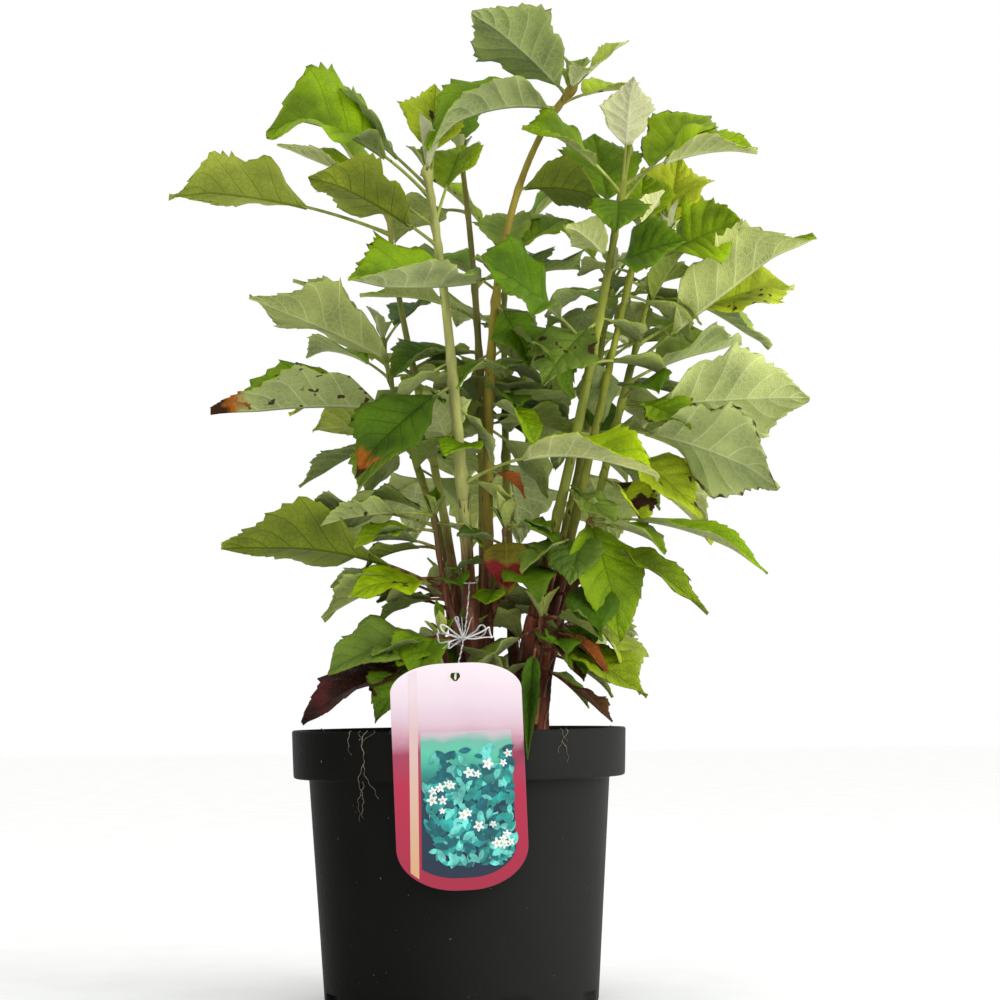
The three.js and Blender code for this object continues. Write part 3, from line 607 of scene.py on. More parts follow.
tones = {  # upper face, underside, veins above, veins below
    "white": ((152, 160, 108), (164, 168, 124), (134, 146, 90), (180, 184, 148)),
    "young": ((160, 178, 70), (190, 196, 132), (140, 160, 56), (208, 210, 160)),
    "pale": ((154, 174, 70), (172, 184, 112), (134, 156, 52), (196, 204, 146)),
    "fresh": ((152, 176, 28), (164, 174, 84), (128, 154, 20), (190, 198, 126)),
    "bright": ((128, 158, 4), (158, 168, 98), (98, 130, 4), (188, 196, 140)),
    "mid": ((100, 132, 8), (150, 164, 84), (76, 106, 6), (176, 186, 118)),
    "deep": ((66, 96, 4), (114, 132, 50), (46, 74, 2), (140, 154, 80)),
    "olive": ((112, 134, 14), (118, 132, 40), (88, 110, 10), (82, 98, 18)),
    "grey": ((106, 134, 14), (152, 164, 92), (80, 106, 10), (178, 186, 124)),
    "lit": ((146, 160, 40), (158, 170, 66), (120, 136, 28), (122, 136, 40)),
    "yellow": ((160, 176, 34), (168, 178, 70), (134, 152, 26), (190, 196, 110)),
    "spotted": ((118, 144, 14), (146, 158, 74), (88, 116, 10), (172, 180, 108)),
    "dull": ((98, 122, 42), (130, 146, 78), (76, 100, 28), (150, 162, 98)),
    "tinted": ((104, 98, 22), (122, 110, 40), (124, 112, 34), (140, 122, 56)),
    "rust": ((128, 66, 20), (146, 84, 34), (148, 88, 36), (160, 104, 52)),
    "dead": ((44, 20, 14), (72, 36, 26), (64, 32, 22), (90, 54, 38)),
    "brown": ((78, 50, 26), (104, 74, 42), (104, 76, 46), (124, 92, 58)),
}
ownMarks = {"spotted": ["spots"], "tinted": ["red"], "dead": ["wine"]}
leafGloss = {  # strength of the net of veins, depth of the clouds, roughness, specular, bump, sheen
    "upper": (0.35, 0.24, 0.5, 0.14, 0.6, 0.0), "under": (0.5, 0.14, 0.75, 0.06, 0.5, 0.1),
    "vein": (0.2, 0.1, 0.5, 0.14, 0.2, 0.0), "vein below": (0.2, 0.1, 0.7, 0.08, 0.2, 0.0),
}
leafPaint = {}


def toneSlots(names):  # the materials of these tones, and where each tone's first slot stands
    materials, first = [], {}
    for name in dict.fromkeys(names):
        first[name] = len(materials)
        if name not in leafPaint:
            tone, *marks = name.split("+")
            upper, under, vein, veinUnder = tones[tone]
            marks = marks + ownMarks.get(tone, [])
            colours = ((upper, vein), (under, veinUnder), (vein, upper), (veinUnder, under))
            leafPaint[name] = [
                leafFinish(f"leaf {name} {face}", colour, net, *leafGloss[face], marks)
                for face, (colour, net) in zip(leafGloss, colours)]
        materials += leafPaint[name]
    return materials, first


# Half the width of a blade as a share of its greatest, at a share s from base to tip: a wedge that opens
# to sin(pi s^k)^0.85, fullest past the middle, with lobes -cos(5 pi s) that grow towards the tip.
def bladeWidth(s, fullness, lobe, shift, tipped):
    s = np.clip(s, 0, 1)
    oval = np.sin(np.pi * s**fullness).clip(0) ** 0.85
    lobes = 1 - lobe * np.cos(np.pi * leafForm["rings"] * (s + shift)) * smoothStep(0.15, 0.5, s)
    return oval * lobes * (1 - tipped * smoothStep(0.72, 1, s))


# The curve that carries each leaf: from the stem to its tip, lifted in the middle by its arch.
def leafSpines(curve, rows):
    height, heading, reach, rise, _, arch = rows[:, :6].T
    h = np.radians(heading)
    foot = curveAt(curve, shareAt(curve, height))
    tip = foot + np.stack([reach * np.cos(h), reach * np.sin(h), rise], 1)
    lift = arch * np.linalg.norm(tip - foot, axis=1)
    pull = mix(foot, tip, 0.45)
    pull[:, 2] += lift
    return foot, pull, tip, np.stack([np.sin(h), -np.cos(h), 0 * h], 1)


# The rows of a blade's grid: v from base to tip with the form's rows at each side vein, where the two beside
# the vein close in towards the margin, and for every row its tooth, its puff and whether it is a vein.
def bladeGrid(form, out):
    rows, step = np.array(form["rows"], float)[:, None], 1 / (form["veins"] + 0.35)
    centre = (np.arange(form["veins"]) + 0.45) * step
    offset = rows * np.where(np.abs(rows) < 0.1, 1 - 0.8 * out, 1)
    v = (centre[:, None, None] + step * offset[None]).reshape(-1, len(out))
    v = np.concatenate([np.zeros((1, len(out))), v, np.ones((1, len(out)))])
    perRow = (np.tile(form[key], form["veins"]) for key in ("tooth", "rowPuff", "rowVein"))
    return v, step, *(np.concatenate([[0], values, [0]]) for values in perRow)


# Leaf blades as thin closed shells on a grid of v (base to tip) by u (across). The grid bends with
# the side veins, s = v + bend |u| 4v(1 - v), and the point is spine(s) + sideways x + normal lift:
# x is u times the half width, drawn out into teeth, and lift adds the fold, the quilting between the
# veins, the groove of the midrib and the wave of the margin.
def leafBlades(curve, rows, names, first, form, seed):
    rng = np.random.default_rng(seed)
    count = len(rows)
    each = lambda low, high, *shape: rng.uniform(low, high, (count, *shape))
    out, hand, columnPuff, jag = (np.array(form[key], float) for key in ("out", "hand", "puff", "jag"))
    v, step, toothBase, rowPuff, onVein = bladeGrid(form, out)
    foot, pull, tip, side = leafSpines(curve, rows)
    width, roll, fold, stalk = (rows[:, k][:, None, None] for k in (4, 6, 7, 8))
    roll, fold = np.radians(roll), np.radians(fold)
    rowCount, columns = v.shape
    shell = rowCount * columns

    # the outline
    handed = (hand > 0).astype(int)
    taper = smoothStep(0, 0.12, v) * (1 - smoothStep(0.9, 1, v))
    ragged = each(*form["ragged"], rowCount, 2)[..., handed]
    teeth = toothBase[None, :, None] * ragged * jag * each(0.8, 1.3, 1, 1)
    teeth = teeth * mix(0.25, 1, smoothStep(0.2, 0.5, v)) * (1 - smoothStep(0.93, 1, v))
    s = v + form["bend"] * out * 4 * v * (1 - v)
    s = np.clip(s[None] + 0.16 * step * np.maximum(teeth, 0) / 0.15 * (out == 1), 0, 1)
    plump = np.array(["round" in name for name in names])[:, None, None]
    fullness = np.where(plump, 0.9, each(*form["fullness"], 1, 1))
    lobe = each(*form["lobe"], 1, 2)[..., handed] * np.where(plump, 0.2, 1)
    shift = each(-0.05, 0.05, 1, 2)[..., handed]
    half = bladeWidth(s, fullness, lobe, shift, np.where(plump, 0.1, 0.5)) * width / 2
    half = np.maximum(half, mix(1.0, 0.25, v)[None])
    ribShare = np.minimum(form["rib"] * mix(1.1, 0.4, v)[None] / half, 0.12)
    across = np.where(out == 0, ribShare, out) * hand
    x = across * half * (1 + teeth * np.where(plump, 0.4, 1))

    # the spine, and the two directions square to it, turned by the leaf's roll
    t = (stalk + (1 - stalk) * s)[..., None]
    a, b, c = foot[:, None, None], pull[:, None, None], tip[:, None, None]
    spine = (1 - t) ** 2 * a + 2 * t * (1 - t) * b + t**2 * c
    along = unit((1 - t) * (b - a) + t * (c - b))
    wide = np.broadcast_to(side[:, None, None], along.shape)
    twist = each(*form["twist"], 1, 1) * np.sin(np.pi * s)
    turned = (roll * np.minimum(1, 3 * s) + twist)[..., None]
    normal = np.cross(wide, along) * np.cos(turned) - wide * np.sin(turned)
    sideways = np.cross(along, normal)

    # the relief
    size = width / 60
    lift = np.abs(x) * np.sin(fold) * (1.12 - 0.25 * np.abs(across))
    lift = lift + form["quilt"] * size * rowPuff[None, :, None] * columnPuff * taper
    lift = lift - form["groove"] * size * (np.abs(across) < 1e-6)
    waves, phase, depth = each(*form["waves"], 1, 2), each(0, 6.3, 1, 2), each(*form["waveDepth"], 1, 2)
    wave = np.sin(fullTurn * waves[..., handed] * s + phase[..., handed]) * depth[..., handed]
    lift = lift + wave * width * across**2 * taper
    lift = lift - each(*form["curl"], 1, 1) * width * smoothStep(0.7, 1, s)
    top = spine + sideways * (x * np.cos(fold))[..., None] + normal * lift[..., None]
    ribs = form["ribRise"] * mix(1.0, 0.25, v) * (hand == 0)
    ribs = ribs + form["veinRise"] * onVein[:, None] * (columnPuff > 0.2) * (out < 0.9)
    thick = form["thick"] * mix(1.0, 0.7, out) + ribs[None] * np.minimum(size, 1.2)
    bottom = top - normal * thick[..., None]
    flatly = lambda values: values.reshape(count, shell, -1)
    both = lambda a, b: np.stack([flatly(a), flatly(b)], 1).reshape(-1, a.shape[-1])

    # the faces: both sides split the same way, and a rim that joins them
    quads = gridQuads(rowCount, columns)
    edge = np.arange(shell).reshape(rowCount, columns)
    rim = np.concatenate([edge[0], edge[1:, -1], edge[-1, -2::-1], edge[-2:0:-1, 0]])
    after = np.roll(rim, -1)
    rimQuads = np.stack([after, rim, rim + shell, after + shell], 1)
    oneLeaf = np.concatenate([quads, quads[:, [0, 3, 2, 1]] + shell, rimQuads])
    every = (oneLeaf[None] + (np.arange(count) * 2 * shell)[:, None, None]).reshape(-1, 4)
    j, i = np.divmod(np.arange(len(quads)), columns - 1)
    veined = (onVein[j] * onVein[j + 1] > 0) & (j % len(form["rows"]) == 1) | (out[i] + out[i + 1] == 0)
    oneSlots = np.concatenate([np.where(veined, 2, 0), np.where(veined, 3, 1), np.zeros(len(rimQuads), int)])
    slots = np.array([first[name] for name in names])[:, None] + oneSlots
    flat = np.tile(np.arange(len(oneLeaf)) >= 2 * len(quads), count)

    # where each point lies on its blade, moved for every leaf to another place of the vein net
    far = np.linalg.norm(tip - foot, axis=1)[:, None, None] * (1 - stalk) * s
    plane = np.stack([x, far], -1) / 40 + np.arange(count)[:, None, None, None] * (1.37, 2.11)
    share = np.stack([np.abs(across) + 0 * s, s], -1)
    shade = np.repeat(each(0, 1), 2 * shell)
    return outward(part(both(top, bottom), every, None, slots.ravel(), flat=flat, shade=shade,
                        plane=both(plane, plane), share=both(share, share)))


# Leaf stalks: a tube along each spine from inside the stem to just inside the blade, thicker at its foot.
def leafStalks(curve, rows, slot):
    parts = []
    for foot, pull, tip, stalk, width in zip(*leafSpines(curve, rows)[:3], rows[:, 8], rows[:, 4]):
        t = np.linspace(0, stalk + 0.05, 11)
        path = curveAt([foot, pull, tip], t)
        slim = mix(0.75, 1.1, min(1, width / 55))
        radius = slim * (1 + 0.55 * np.exp(-(t / 0.05) ** 2)) * mix(1.0, 0.8, t / t[-1])
        radius[-1] *= 0.4
        across = np.cross(tip - foot, (0, 0, 1.0))
        across = across if np.linalg.norm(across) > 1 else (1, 0, 0)
        parts.append(tube(path, radius, 8, across, slot, ends=0.4))
    return parts


stemTones = {
    "front_left": (160, 162, 92), "centre": (146, 132, 52), "back_centre": (128, 124, 58),
    "left": (142, 144, 72), "back_left": (128, 132, 60), "front_right": (134, 142, 52),
    "right": (136, 142, 50), "far_right": (138, 146, 56), "back_right": (126, 130, 52),
    "back": (124, 128, 54),
}
stalkTone, shootTone = (146, 156, 74), (122, 104, 58)


# Green bark over stretched noise, turning woody brown below a height (in metres) that wanders.
def stemPaint(name, colour, woody=0.246):
    specks = {"scale": 240.0, "from": 0.66, "edge": 0.03, "colour": tuple(0.55 * c for c in colour)}
    made = finish(name, colour, 0.22, 60, 0.6, 0.15, 0.4, 700, stretch=(1, 1, 0.25), marks=specks)
    tree = made.node_tree
    place = node(tree, "TexCoord").outputs["Object"]
    long = node(tree, "Mapping", {"Vector": place, "Scale": (1, 1, 0.12)}).outputs["Vector"]
    cloud = noise(tree, long, 260.0, 5.0, 0.65)
    wood = ramp(tree, cloud, [(0.3, (44, 20, 12)), (0.5, (104, 58, 38)), (0.66, (146, 104, 82))])
    green = wandering(tree, place, "Z", cloud, 0.03, woody - 0.008, woody + 0.03)
    overlaid(made, wood, green, swapped=True)
    return made


# A green stem: radius mix(a, b, t) with a swelling at every joint, and faint ridges along it.
def greenStem(curve, girth, low, high, joints, seed, sides=16, ends=0.0):
    span = lengthOf(curve) * (high - low)
    t = np.linspace(low, high, max(12, int(span / 2.2)))
    path = curveAt(curve, t)
    turn = np.linspace(0, fullTurn, sides, endpoint=False)
    radius = mix(*girth, t)[:, None] * (1 + 0.035 * np.sin(5 * turn + 0.05 * path[:, 2:3] + seed))
    radius = radius * (1 + 0.025 * ripple(path, 7, seed)[:, None])
    for joint in joints:
        radius = radius * (1 + 0.16 * np.exp(-(((path[:, 2] - joint) / 3.2) ** 2)))[:, None]
    if ends:
        radius[-1] *= 0.72
    return tube(path, radius, sides, ends=ends)


filler = {
    "count": 6, "top": {"left": 372, "right": 408}, "reach": (30, 50), "rise": (-38, 6), "stalk": 0.3,
    "width": (0.6, 0.8), "arch": 0.18, "tones": ("mid", "grey", "deep", "bright", "dull", "grey"),
    "front": ("front_left", "front_right", "centre", "right"),
}
tipLeaves = {"count": 4, "reach": (5, 11), "rise": (12, 22), "width": (7, 10)}
seedSteps = {"filler": 50, "large": 100, "small": 200}  # so that no two pieces draw the same


# Small inner leaves set a golden turn apart up a stem, on the front stems only behind it.
def fillerLeaves(name, low, top, seed):
    rng = np.random.default_rng(seed)
    rows = []
    for k in range(filler["count"]):
        height = mix(low + 4, top, (k + rng.uniform(0.2, 0.8)) / filler["count"])
        turn = (goldenTurn * k + rng.uniform(0, 30)) % 360
        heading = 20 + turn * 140 / 360 if name in filler["front"] else turn
        reach = rng.uniform(*filler["reach"])
        rows.append((
            height, heading, reach, rng.uniform(*filler["rise"]), reach * rng.uniform(*filler["width"]),
            filler["arch"], rng.uniform(-20, 20), rng.uniform(14, 26), filler["stalk"],
            filler["tones"][k % len(filler["tones"])],
        ))
    return rows


# The young leaves round the growing tip of a stem.
def tipRows(curve, seed, names):
    rng = np.random.default_rng(seed)
    return [(
        curve[-1][2] - 1 - k, goldenTurn * k + seed * 40, rng.uniform(*tipLeaves["reach"]),
        rng.uniform(*tipLeaves["rise"]), rng.uniform(*tipLeaves["width"]), 0.12, 0, 34, 0.12, names[k % 2],
    ) for k in range(tipLeaves["count"])]


# A mass: the leafy length of a stem with its leaves, in two pieces that stand for its node.
def addMass(kind, name, curve, girth, low, top, young, seed):
    rows = list(leaves.get(name, ()))
    if name in pairs:
        rows += pairedLeaves(**pairs[name])
    large = len(rows)
    start = curveAt(curve, low)[2] + (0 if kind == "crown" else 8)
    rows += tipRows(curve, seed, young) + fillerLeaves(name, start, top, seed + seedSteps["filler"])
    names = [row[-1] for row in rows]
    table = np.array([row[:-1] for row in rows], float)
    materials, first = toneSlots(names)
    sizes = [(slice(large, None), smallForm, "small"), (slice(0, large), leafForm, "large")]
    blades = [
        leafBlades(curve, table[some], names[some], first, form, seed + seedSteps[size])
        for some, form, size in sizes if names[some]]
    addMesh(f"leaves_{name}", blades, materials, [f"{kind}_{name}"], mapped=True)
    bark = stemPaint(f"stem {name}", stemTones.get(name, shootTone))
    paints = [bark, stemPaint(f"stalk {name}", stalkTone)]
    joints = sorted(set(np.round(table[:, 0]).tolist()))
    stem = greenStem(curve, girth, low, 1, joints, seed, ends=0.9)
    addMesh(f"twigs_{name}", [stem] + leafStalks(curve, table, 1), paints, [f"{kind}_{name}"])


seed = 1
for name, stem in stems.items():
    curve = stem["curve"]
    low = shareAt(curve, stem["leafy"]) + gap / lengthOf(curve)
    top = max(curveAt(curve, low)[2] + 20, filler["top"][stem["stool"]])
    addMass("crown", name, curve, stem["girth"], low, top, ("white", "young"), seed)
    seed += 1
for name, shoot in shoots.items():
    curve = shoot["curve"]
    addMass("foliage", name, curve, shoot["girth"], 0, curve[-1][2], ("mid", "fresh"), seed)
    seed += 1
print("leaves and twigs")

jointRow = {"first": 18, "step": 41}
for name, stem in stems.items():
    curve = stem["curve"]
    low = gap / lengthOf(curve)
    high = shareAt(curve, stem["leafy"])
    joints = np.arange(curve[0][2] + jointRow["first"], stem["leafy"], jointRow["step"])
    bough = greenStem(curve, stem["girth"], low, high, joints, seed, sides=20)
    addMesh(f"stem_{name}", [bough], [stemPaint(f"bark {name}", stemTones[name])], [f"bough_{name}"])
    seed += 1
print("boughs")

stool = {"fork": 1.12, "foot": 2.1, "rings": 70, "sides": 40, "shreds": 7}
shred = {
    "rings": 12, "start": (0.1, 0.72), "span": (0.12, 0.26), "half": (0.5, 1.3), "tip": 0.1, "thick": 0.16,
    "narrowing": 0.7, "peel": 2.2, "peels": (0.4, 1.5),
}
barkPaint = finish("shreddy bark", (106, 60, 42), 0.5, 90, 0.85, 0.2, 0.9, 500, stretch=(1, 1, 0.16),
                   marks={"scale": 60.0, "from": 0.6, "edge": 0.1, "colour": (134, 104, 86)})
shredPaint = finish("peeling bark", (148, 110, 86), 0.35, 120, 0.85, 0.2, 0.6, 700, stretch=(1, 1, 0.2))


def stubCurve(stem):  # from the ground under the soil to the foot of the stem, and on in the stem's direction
    fork = np.array(stem["curve"][0], float)
    pull = fork - 0.45 * (fork[2] - soilLevel) * slopeAt(stem["curve"], 0.0)
    return [(*stem["ground"], soilLevel - 3), pull, fork]


# A woody foot: radius girth * mix(fork, foot, (1 - t)^4) with long ridges that wander round it.
def woodyFoot(stem, seed):
    curve = stubCurve(stem)
    t = np.linspace(0, 1, stool["rings"])
    path = curveAt(curve, t)
    turn = np.linspace(0, fullTurn, stool["sides"], endpoint=False)[None]
    wide = stem["girth"][0] * mix(stool["fork"], stool["foot"], (1 - t) ** 4)
    field = np.stack(np.broadcast_arrays(3 * np.cos(turn), 3 * np.sin(turn), 0.1 * path[:, 2:3]), -1)
    ridges = np.abs(ripple(field, 2.2, seed)) + 0.5 * ripple(field * (1, 1, 3), 1.1, seed + 1)
    return tube(path, wide[:, None] * (0.93 + 0.13 * ridges), stool["sides"]), curve, wide


# A shred of bark: a narrow strip up the foot, peel share^3 off it and 1 - narrowing share wide.
def barkShred(curve, wide, rng):
    low, rings, thick = rng.uniform(*shred["start"]), shred["rings"], shred["thick"]
    t = np.linspace(low, low + rng.uniform(*shred["span"]), rings).clip(0, 1)
    share = np.linspace(0, 1, rings)
    path, along = curveAt(curve, t), slopeAt(curve, t)
    turn = rng.uniform(0, fullTurn) + 0.5 * share * rng.uniform(-1, 1)
    first, second = squareTo(along)
    outwards = np.cos(turn)[:, None] * first + np.sin(turn)[:, None] * second
    radius = np.interp(t, np.linspace(0, 1, len(wide)), wide)
    peel = shred["peel"] * share**3 * rng.uniform(*shred["peels"])
    spine = path + outwards * (radius * 1.02 + peel)[:, None]
    sideways = np.cross(along, outwards)
    half = rng.uniform(*shred["half"]) * (1 - shred["narrowing"] * share) + shred["tip"]
    corners = [(-1, thick), (1, thick), (1, -thick), (-1, -thick)]
    ring = np.stack([spine + sideways * (half * a)[:, None] + outwards * b for a, b in corners], 1)
    caps = np.array([[0, 1, 2], [0, 2, 3], [0, 2, 1], [0, 3, 2]])
    caps[2:] += (rings - 1) * 4
    return outward(part(ring.reshape(-1, 3), gridQuads(rings, 4, True), caps, 1, 1, flat=True))


rng = np.random.default_rng(5)
for sideName in ("left", "right"):
    parts = []
    for name, stem in stems.items():
        if stem["stool"] == sideName:
            foot, curve, wide = woodyFoot(stem, seed)
            parts.append(foot)
            parts += [barkShred(curve, wide, rng) for _ in range(stool["shreds"])]
            seed += 2
    addMesh(f"trunk_{sideName}", parts, [barkPaint, shredPaint], [f"stool_{sideName}"])
print("woody feet")

pot = {
    "height": 153, "rimTop": 95, "rimFoot": 94.2, "rimBand": 27, "shoulder": 85.4, "base": 77.3, "wall": 1.7,
    "floor": 2.4, "notches": 8, "notchWide": 15, "notchHigh": 7.4, "notchDeep": 3.5, "notchFrom": 70,
    "sides": 240,
}


# A profile (r, z) turned about Z and closed at its first and last ring to two points on the axis.
def turnedShape(r, z, turn, tips):
    points = np.stack([r * np.cos(turn), r * np.sin(turn), np.broadcast_to(z, r.shape)], -1).reshape(-1, 3)
    points = np.concatenate([points, [(0, 0, height) for height in tips]])
    return outward(part(points, gridQuads(len(r), len(turn), True), endFans(len(r), len(turn))))


# The pot turned about Z: a closed profile (r, z) carried round, with its foot drawn in at each notch by
# depth * box(turn) * box(z).
def makePot():
    p = pot
    foot = p["height"] - p["rimBand"]
    body = lambda z: mix(p["base"], p["shoulder"], z / foot)
    w, low, top, base, high = p["wall"], p["rimFoot"], p["rimTop"], p["base"], p["height"]
    heights = (1.2, 3.5, p["notchHigh"] - 0.1, p["notchHigh"] + 0.1, 12, 20, 40, 60, 80, 100, 115, foot - 1.5)
    outer = [(body(z), z) for z in heights]
    rim = [
        (body(foot) + 0.4, foot - 0.3), (low - 1.2, foot), (low - 0.3, foot + 0.4), (low, foot + 1.4),
        (mix(low, top, 0.5), foot + 13), (top - 0.1, high - 2.4), (top, high - 1.4), (top - 0.3, high - 0.4),
        (top - 0.9, high), (top - w + 0.1, high - 0.3), (top - w, high - 1.2), (low - w - 0.6, foot + 3),
    ]
    depths = (foot, 100, 60, 30, 14, p["notchHigh"] + 2, p["notchHigh"] + 1.6, 5, p["floor"])
    inner = [(body(z) - w, z) for z in depths] + [(r, p["floor"]) for r in (60, 20, 1)]
    under = [(r, 0) for r in (1, 30, base - 12, base - 5, base - 1.2)] + [(base - 0.2, 0.4)]
    profile = np.array(under + outer + rim + inner, float)
    turn = np.linspace(0, fullTurn, p["sides"], endpoint=False)
    notchTurn = fullTurn / p["notches"]
    offCentre = np.abs((turn / notchTurn) % 1 - 0.5) * notchTurn * base
    notch = 1 - smoothStep(p["notchWide"] / 2 - 0.4, p["notchWide"] / 2 + 1.2, offCentre)
    r, z = profile[:, 0][:, None], profile[:, 1][:, None]
    innerSide = np.arange(len(profile)) >= len(under) + len(outer) + len(rim)
    limit = np.where(innerSide, p["notchHigh"] + 1.8, p["notchHigh"])[:, None]
    r = r - p["notchDeep"] * notch[None] * (z < limit) * (r > p["notchFrom"])
    paint = finish("moulded black plastic", (6, 6, 5), 0.25, 14, 0.5, 0.025, 0.35, 260,
                   marks={"scale": 420.0, "from": 0.755, "edge": 0.02, "colour": (96, 94, 88)})
    tree = paint.node_tree  # painted highlight: the black plastic is painted lighter towards +X, where the lamp's highlight falls on the pot
    place = node(tree, "TexCoord").outputs["Object"]
    # a painted highlight, not a property of the plastic: grey blended in more towards +X, where the lamp
    # lights the pot
    paintedHighlight = wandering(tree, place, "X", noise(tree, place, 30.0, 4.0), 0.012, -0.09, 0.09, 0.6)
    overlaid(paint, (54, 54, 52), paintedHighlight)
    addMesh("pot", [turnedShape(r, z, turn, (0, p["floor"]))], [paint], ["nursery_pot"])


soil = {
    "rings": 60, "sides": 180, "chips": 1500, "sink": 1.6, "jitter": 0.35,
    "chipLong": (0.6, 1.9), "chipWide": (0.6, 1.3), "chipHigh": (0.4, 0.8),
}


# How far the bed stands above its level: waves 26, 9 and 3.6 mm long.
def soilWaves(points, fine=0.0):
    waves = 1.6 * ripple(points, 26, 3) + 0.9 * ripple(points, 9, 4)
    return waves + fine * ripple(points, 3.6, 6) if fine else waves


# The peat: a bumpy disc, level + ripples, closed down to a flat underside, with loose chips pressed in.
def makeSoil():
    foot = pot["height"] - pot["rimBand"]
    inner = lambda z: mix(pot["base"], pot["shoulder"], z / foot) - pot["wall"] - gap - 0.4
    share = np.linspace(0.02, 1, soil["rings"])[:, None]
    turn = np.linspace(0, fullTurn, soil["sides"], endpoint=False)
    edge, low, level = inner(foot) + 3.6, pot["floor"] + gap, soilLevel - soil["sink"]
    spread = share * edge * np.ones(soil["sides"])
    bumps = soilWaves(np.stack([spread * np.cos(turn), spread * np.sin(turn), 0 * spread], -1), 0.6)
    notched = pot["notchHigh"]
    sides = np.array([
        (inner(foot), foot + 4), (inner(foot), foot), (inner(40), 40), (inner(notched + 2), notched + 3),
        (inner(0) - pot["notchDeep"] - 1, low), (20, low)])
    r = np.concatenate([spread, sides[:, :1] * np.ones(soil["sides"])])
    z = np.concatenate([level + bumps * (1 - 0.5 * share**6), sides[:, 1:] * np.ones(soil["sides"])])
    bed = turnedShape(r, z, turn, (level, low))

    # loose chips: stretched eight-sided grains with shifted corners, each turned its own way
    rng = np.random.default_rng(8)
    count = soil["chips"]
    far = np.sqrt(rng.uniform(0, 1, count)) * (edge - 3)
    angle = rng.uniform(0, fullTurn, count)
    size = rng.gamma(3.0, 0.55, count)[:, None, None] + 0.4
    grain = np.array([(0, 0, 1), (1, 0, 0), (0, 1, 0), (-1, 0, 0), (0, -1, 0), (0, 0, -1.0)])
    jitter = 1 + rng.uniform(-soil["jitter"], soil["jitter"], (count, 6, 3))
    spans = (soil[key] for key in ("chipLong", "chipWide", "chipHigh"))
    stretch = np.stack([rng.uniform(*span, count) for span in spans], 1)
    chips = grain * jitter * size * stretch[:, None]
    spin = rng.uniform(0, fullTurn, count)[:, None]
    x = chips[..., 0] * np.cos(spin) - chips[..., 1] * np.sin(spin)
    y = chips[..., 0] * np.sin(spin) + chips[..., 1] * np.cos(spin)
    base = np.stack([far * np.cos(angle), far * np.sin(angle), 0 * angle], 1)
    base[:, 2] = level + 0.2 + soilWaves(base)
    chips = np.stack([x, y, chips[..., 2]], -1) + base[:, None]
    faces = np.array([(0, 1, 2), (0, 2, 3), (0, 3, 4), (0, 4, 1), (5, 2, 1), (5, 3, 2), (5, 4, 3), (5, 1, 4)])
    every = (faces[None] + (np.arange(count) * 6)[:, None, None]).reshape(-1, 3)
    loose = part(chips, np.zeros((0, 4), int), every, endSlots=np.repeat(rng.integers(1, 4, count), 8))
    paints = [
        finish("peat", (44, 30, 22), 0.5, 160, 0.95, 0.1, 1.0, 500),
        finish("dark peat", (32, 22, 17), 0.4, 200, 0.95, 0.1, 0.8, 600),
        finish("bark chip", (88, 58, 38), 0.4, 200, 0.9, 0.15, 0.8, 600),
        finish("fibre", (122, 92, 62), 0.35, 200, 0.9, 0.15, 0.6, 600),
    ]
    addMesh("soil", [bed, loose], paints, ["potting_soil"])


makePot()
makeSoil()
print("pot and soil")

label = {
    "width": 70, "height": 120, "thick": 0.8, "bottom": 69, "lean": 1.8, "top": (28, 15), "foot": (32, 23),
    "eye": 2.6, "eyeHeight": 113, "back": -95.3, "soft": 0.12,
}
prints = {  # places on the plate, how many sprigs are tried and stars set, and levels in steps of 0.05 mm
    "fieldInset": 0.35, "fieldTop": 80, "slant": 0.03, "stripeInset": 1.4, "stripe": (-28.2, -23.6),
    "stripeFoot": 5, "panelInset": 6.5, "panelLeft": -22.2, "panelTop": 84,
    "sprigs": 520, "sprigHeights": (12, 76), "sprigLong": (5, 9), "sprigLevel": 4,
    "stars": 21, "starHeights": (20, 70), "starSwing": 20, "starSize": (1.8, 3.4), "starLevel": 13,
    "eyeLevel": 18,
}
planted = {"left": -20, "right": 30, "top": 78, "middle": 5, "flat": 10, "low": 32, "round": 22}


# The outline of the plate, moved in by an inset: four elliptical corners about its middle.
def plateOutline(inset=0.0, steps=20):
    half, height = label["width"] / 2, label["height"]
    (ta, td), (fa, fd) = label["top"], label["foot"]
    corners = [
        (half - fa, fd, fa, fd, 3), (half - ta, height - td, ta, td, 0), (ta - half, height - td, ta, td, 1),
        (fa - half, fd, fa, fd, 2)]
    points = []
    for x, z, wide, deep, quarter in corners:
        a = (quarter + np.linspace(0, 1, steps)) * np.pi / 2
        points.append(np.stack([x + (wide - inset) * np.cos(a), z + (deep - inset) * np.sin(a)], 1))
    return np.concatenate(points)


def leant(piece):  # swings flat label geometry about the eye, and sets its height
    p = piece["points"]
    a = math.radians(label["lean"])
    x, z = p[:, 0].copy(), p[:, 2] - label["eyeHeight"]
    p[:, 0] = x * math.cos(a) - z * math.sin(a)
    p[:, 2] = x * math.sin(a) + z * math.cos(a) + label["bottom"] + label["eyeHeight"]
    return piece


# The plate: loops of its outline and of the eye at two depths, with softened edges and a wall in the eye.
def makePlate():
    outline, soft, eyeHeight = plateOutline(), label["soft"], label["eyeHeight"]
    softened = plateOutline(soft)
    turn = np.arctan2(outline[:, 1] - eyeHeight, outline[:, 0])
    eye = label["eye"] * np.stack([np.cos(turn), np.sin(turn)], 1) + (0, eyeHeight)
    front, back = label["back"] - label["thick"], label["back"]
    loops = [
        (eye, front), (softened, front), (outline, front + soft), (outline, back - soft), (softened, back),
        (eye, back)]
    points = np.concatenate([np.insert(loop, 1, y, axis=1) for loop, y in loops])
    quads = gridQuads(len(loops) + 1, len(outline), True) % len(points)  # the last loop joins the first
    return leant(outward(part(points, quads, flat=True)))


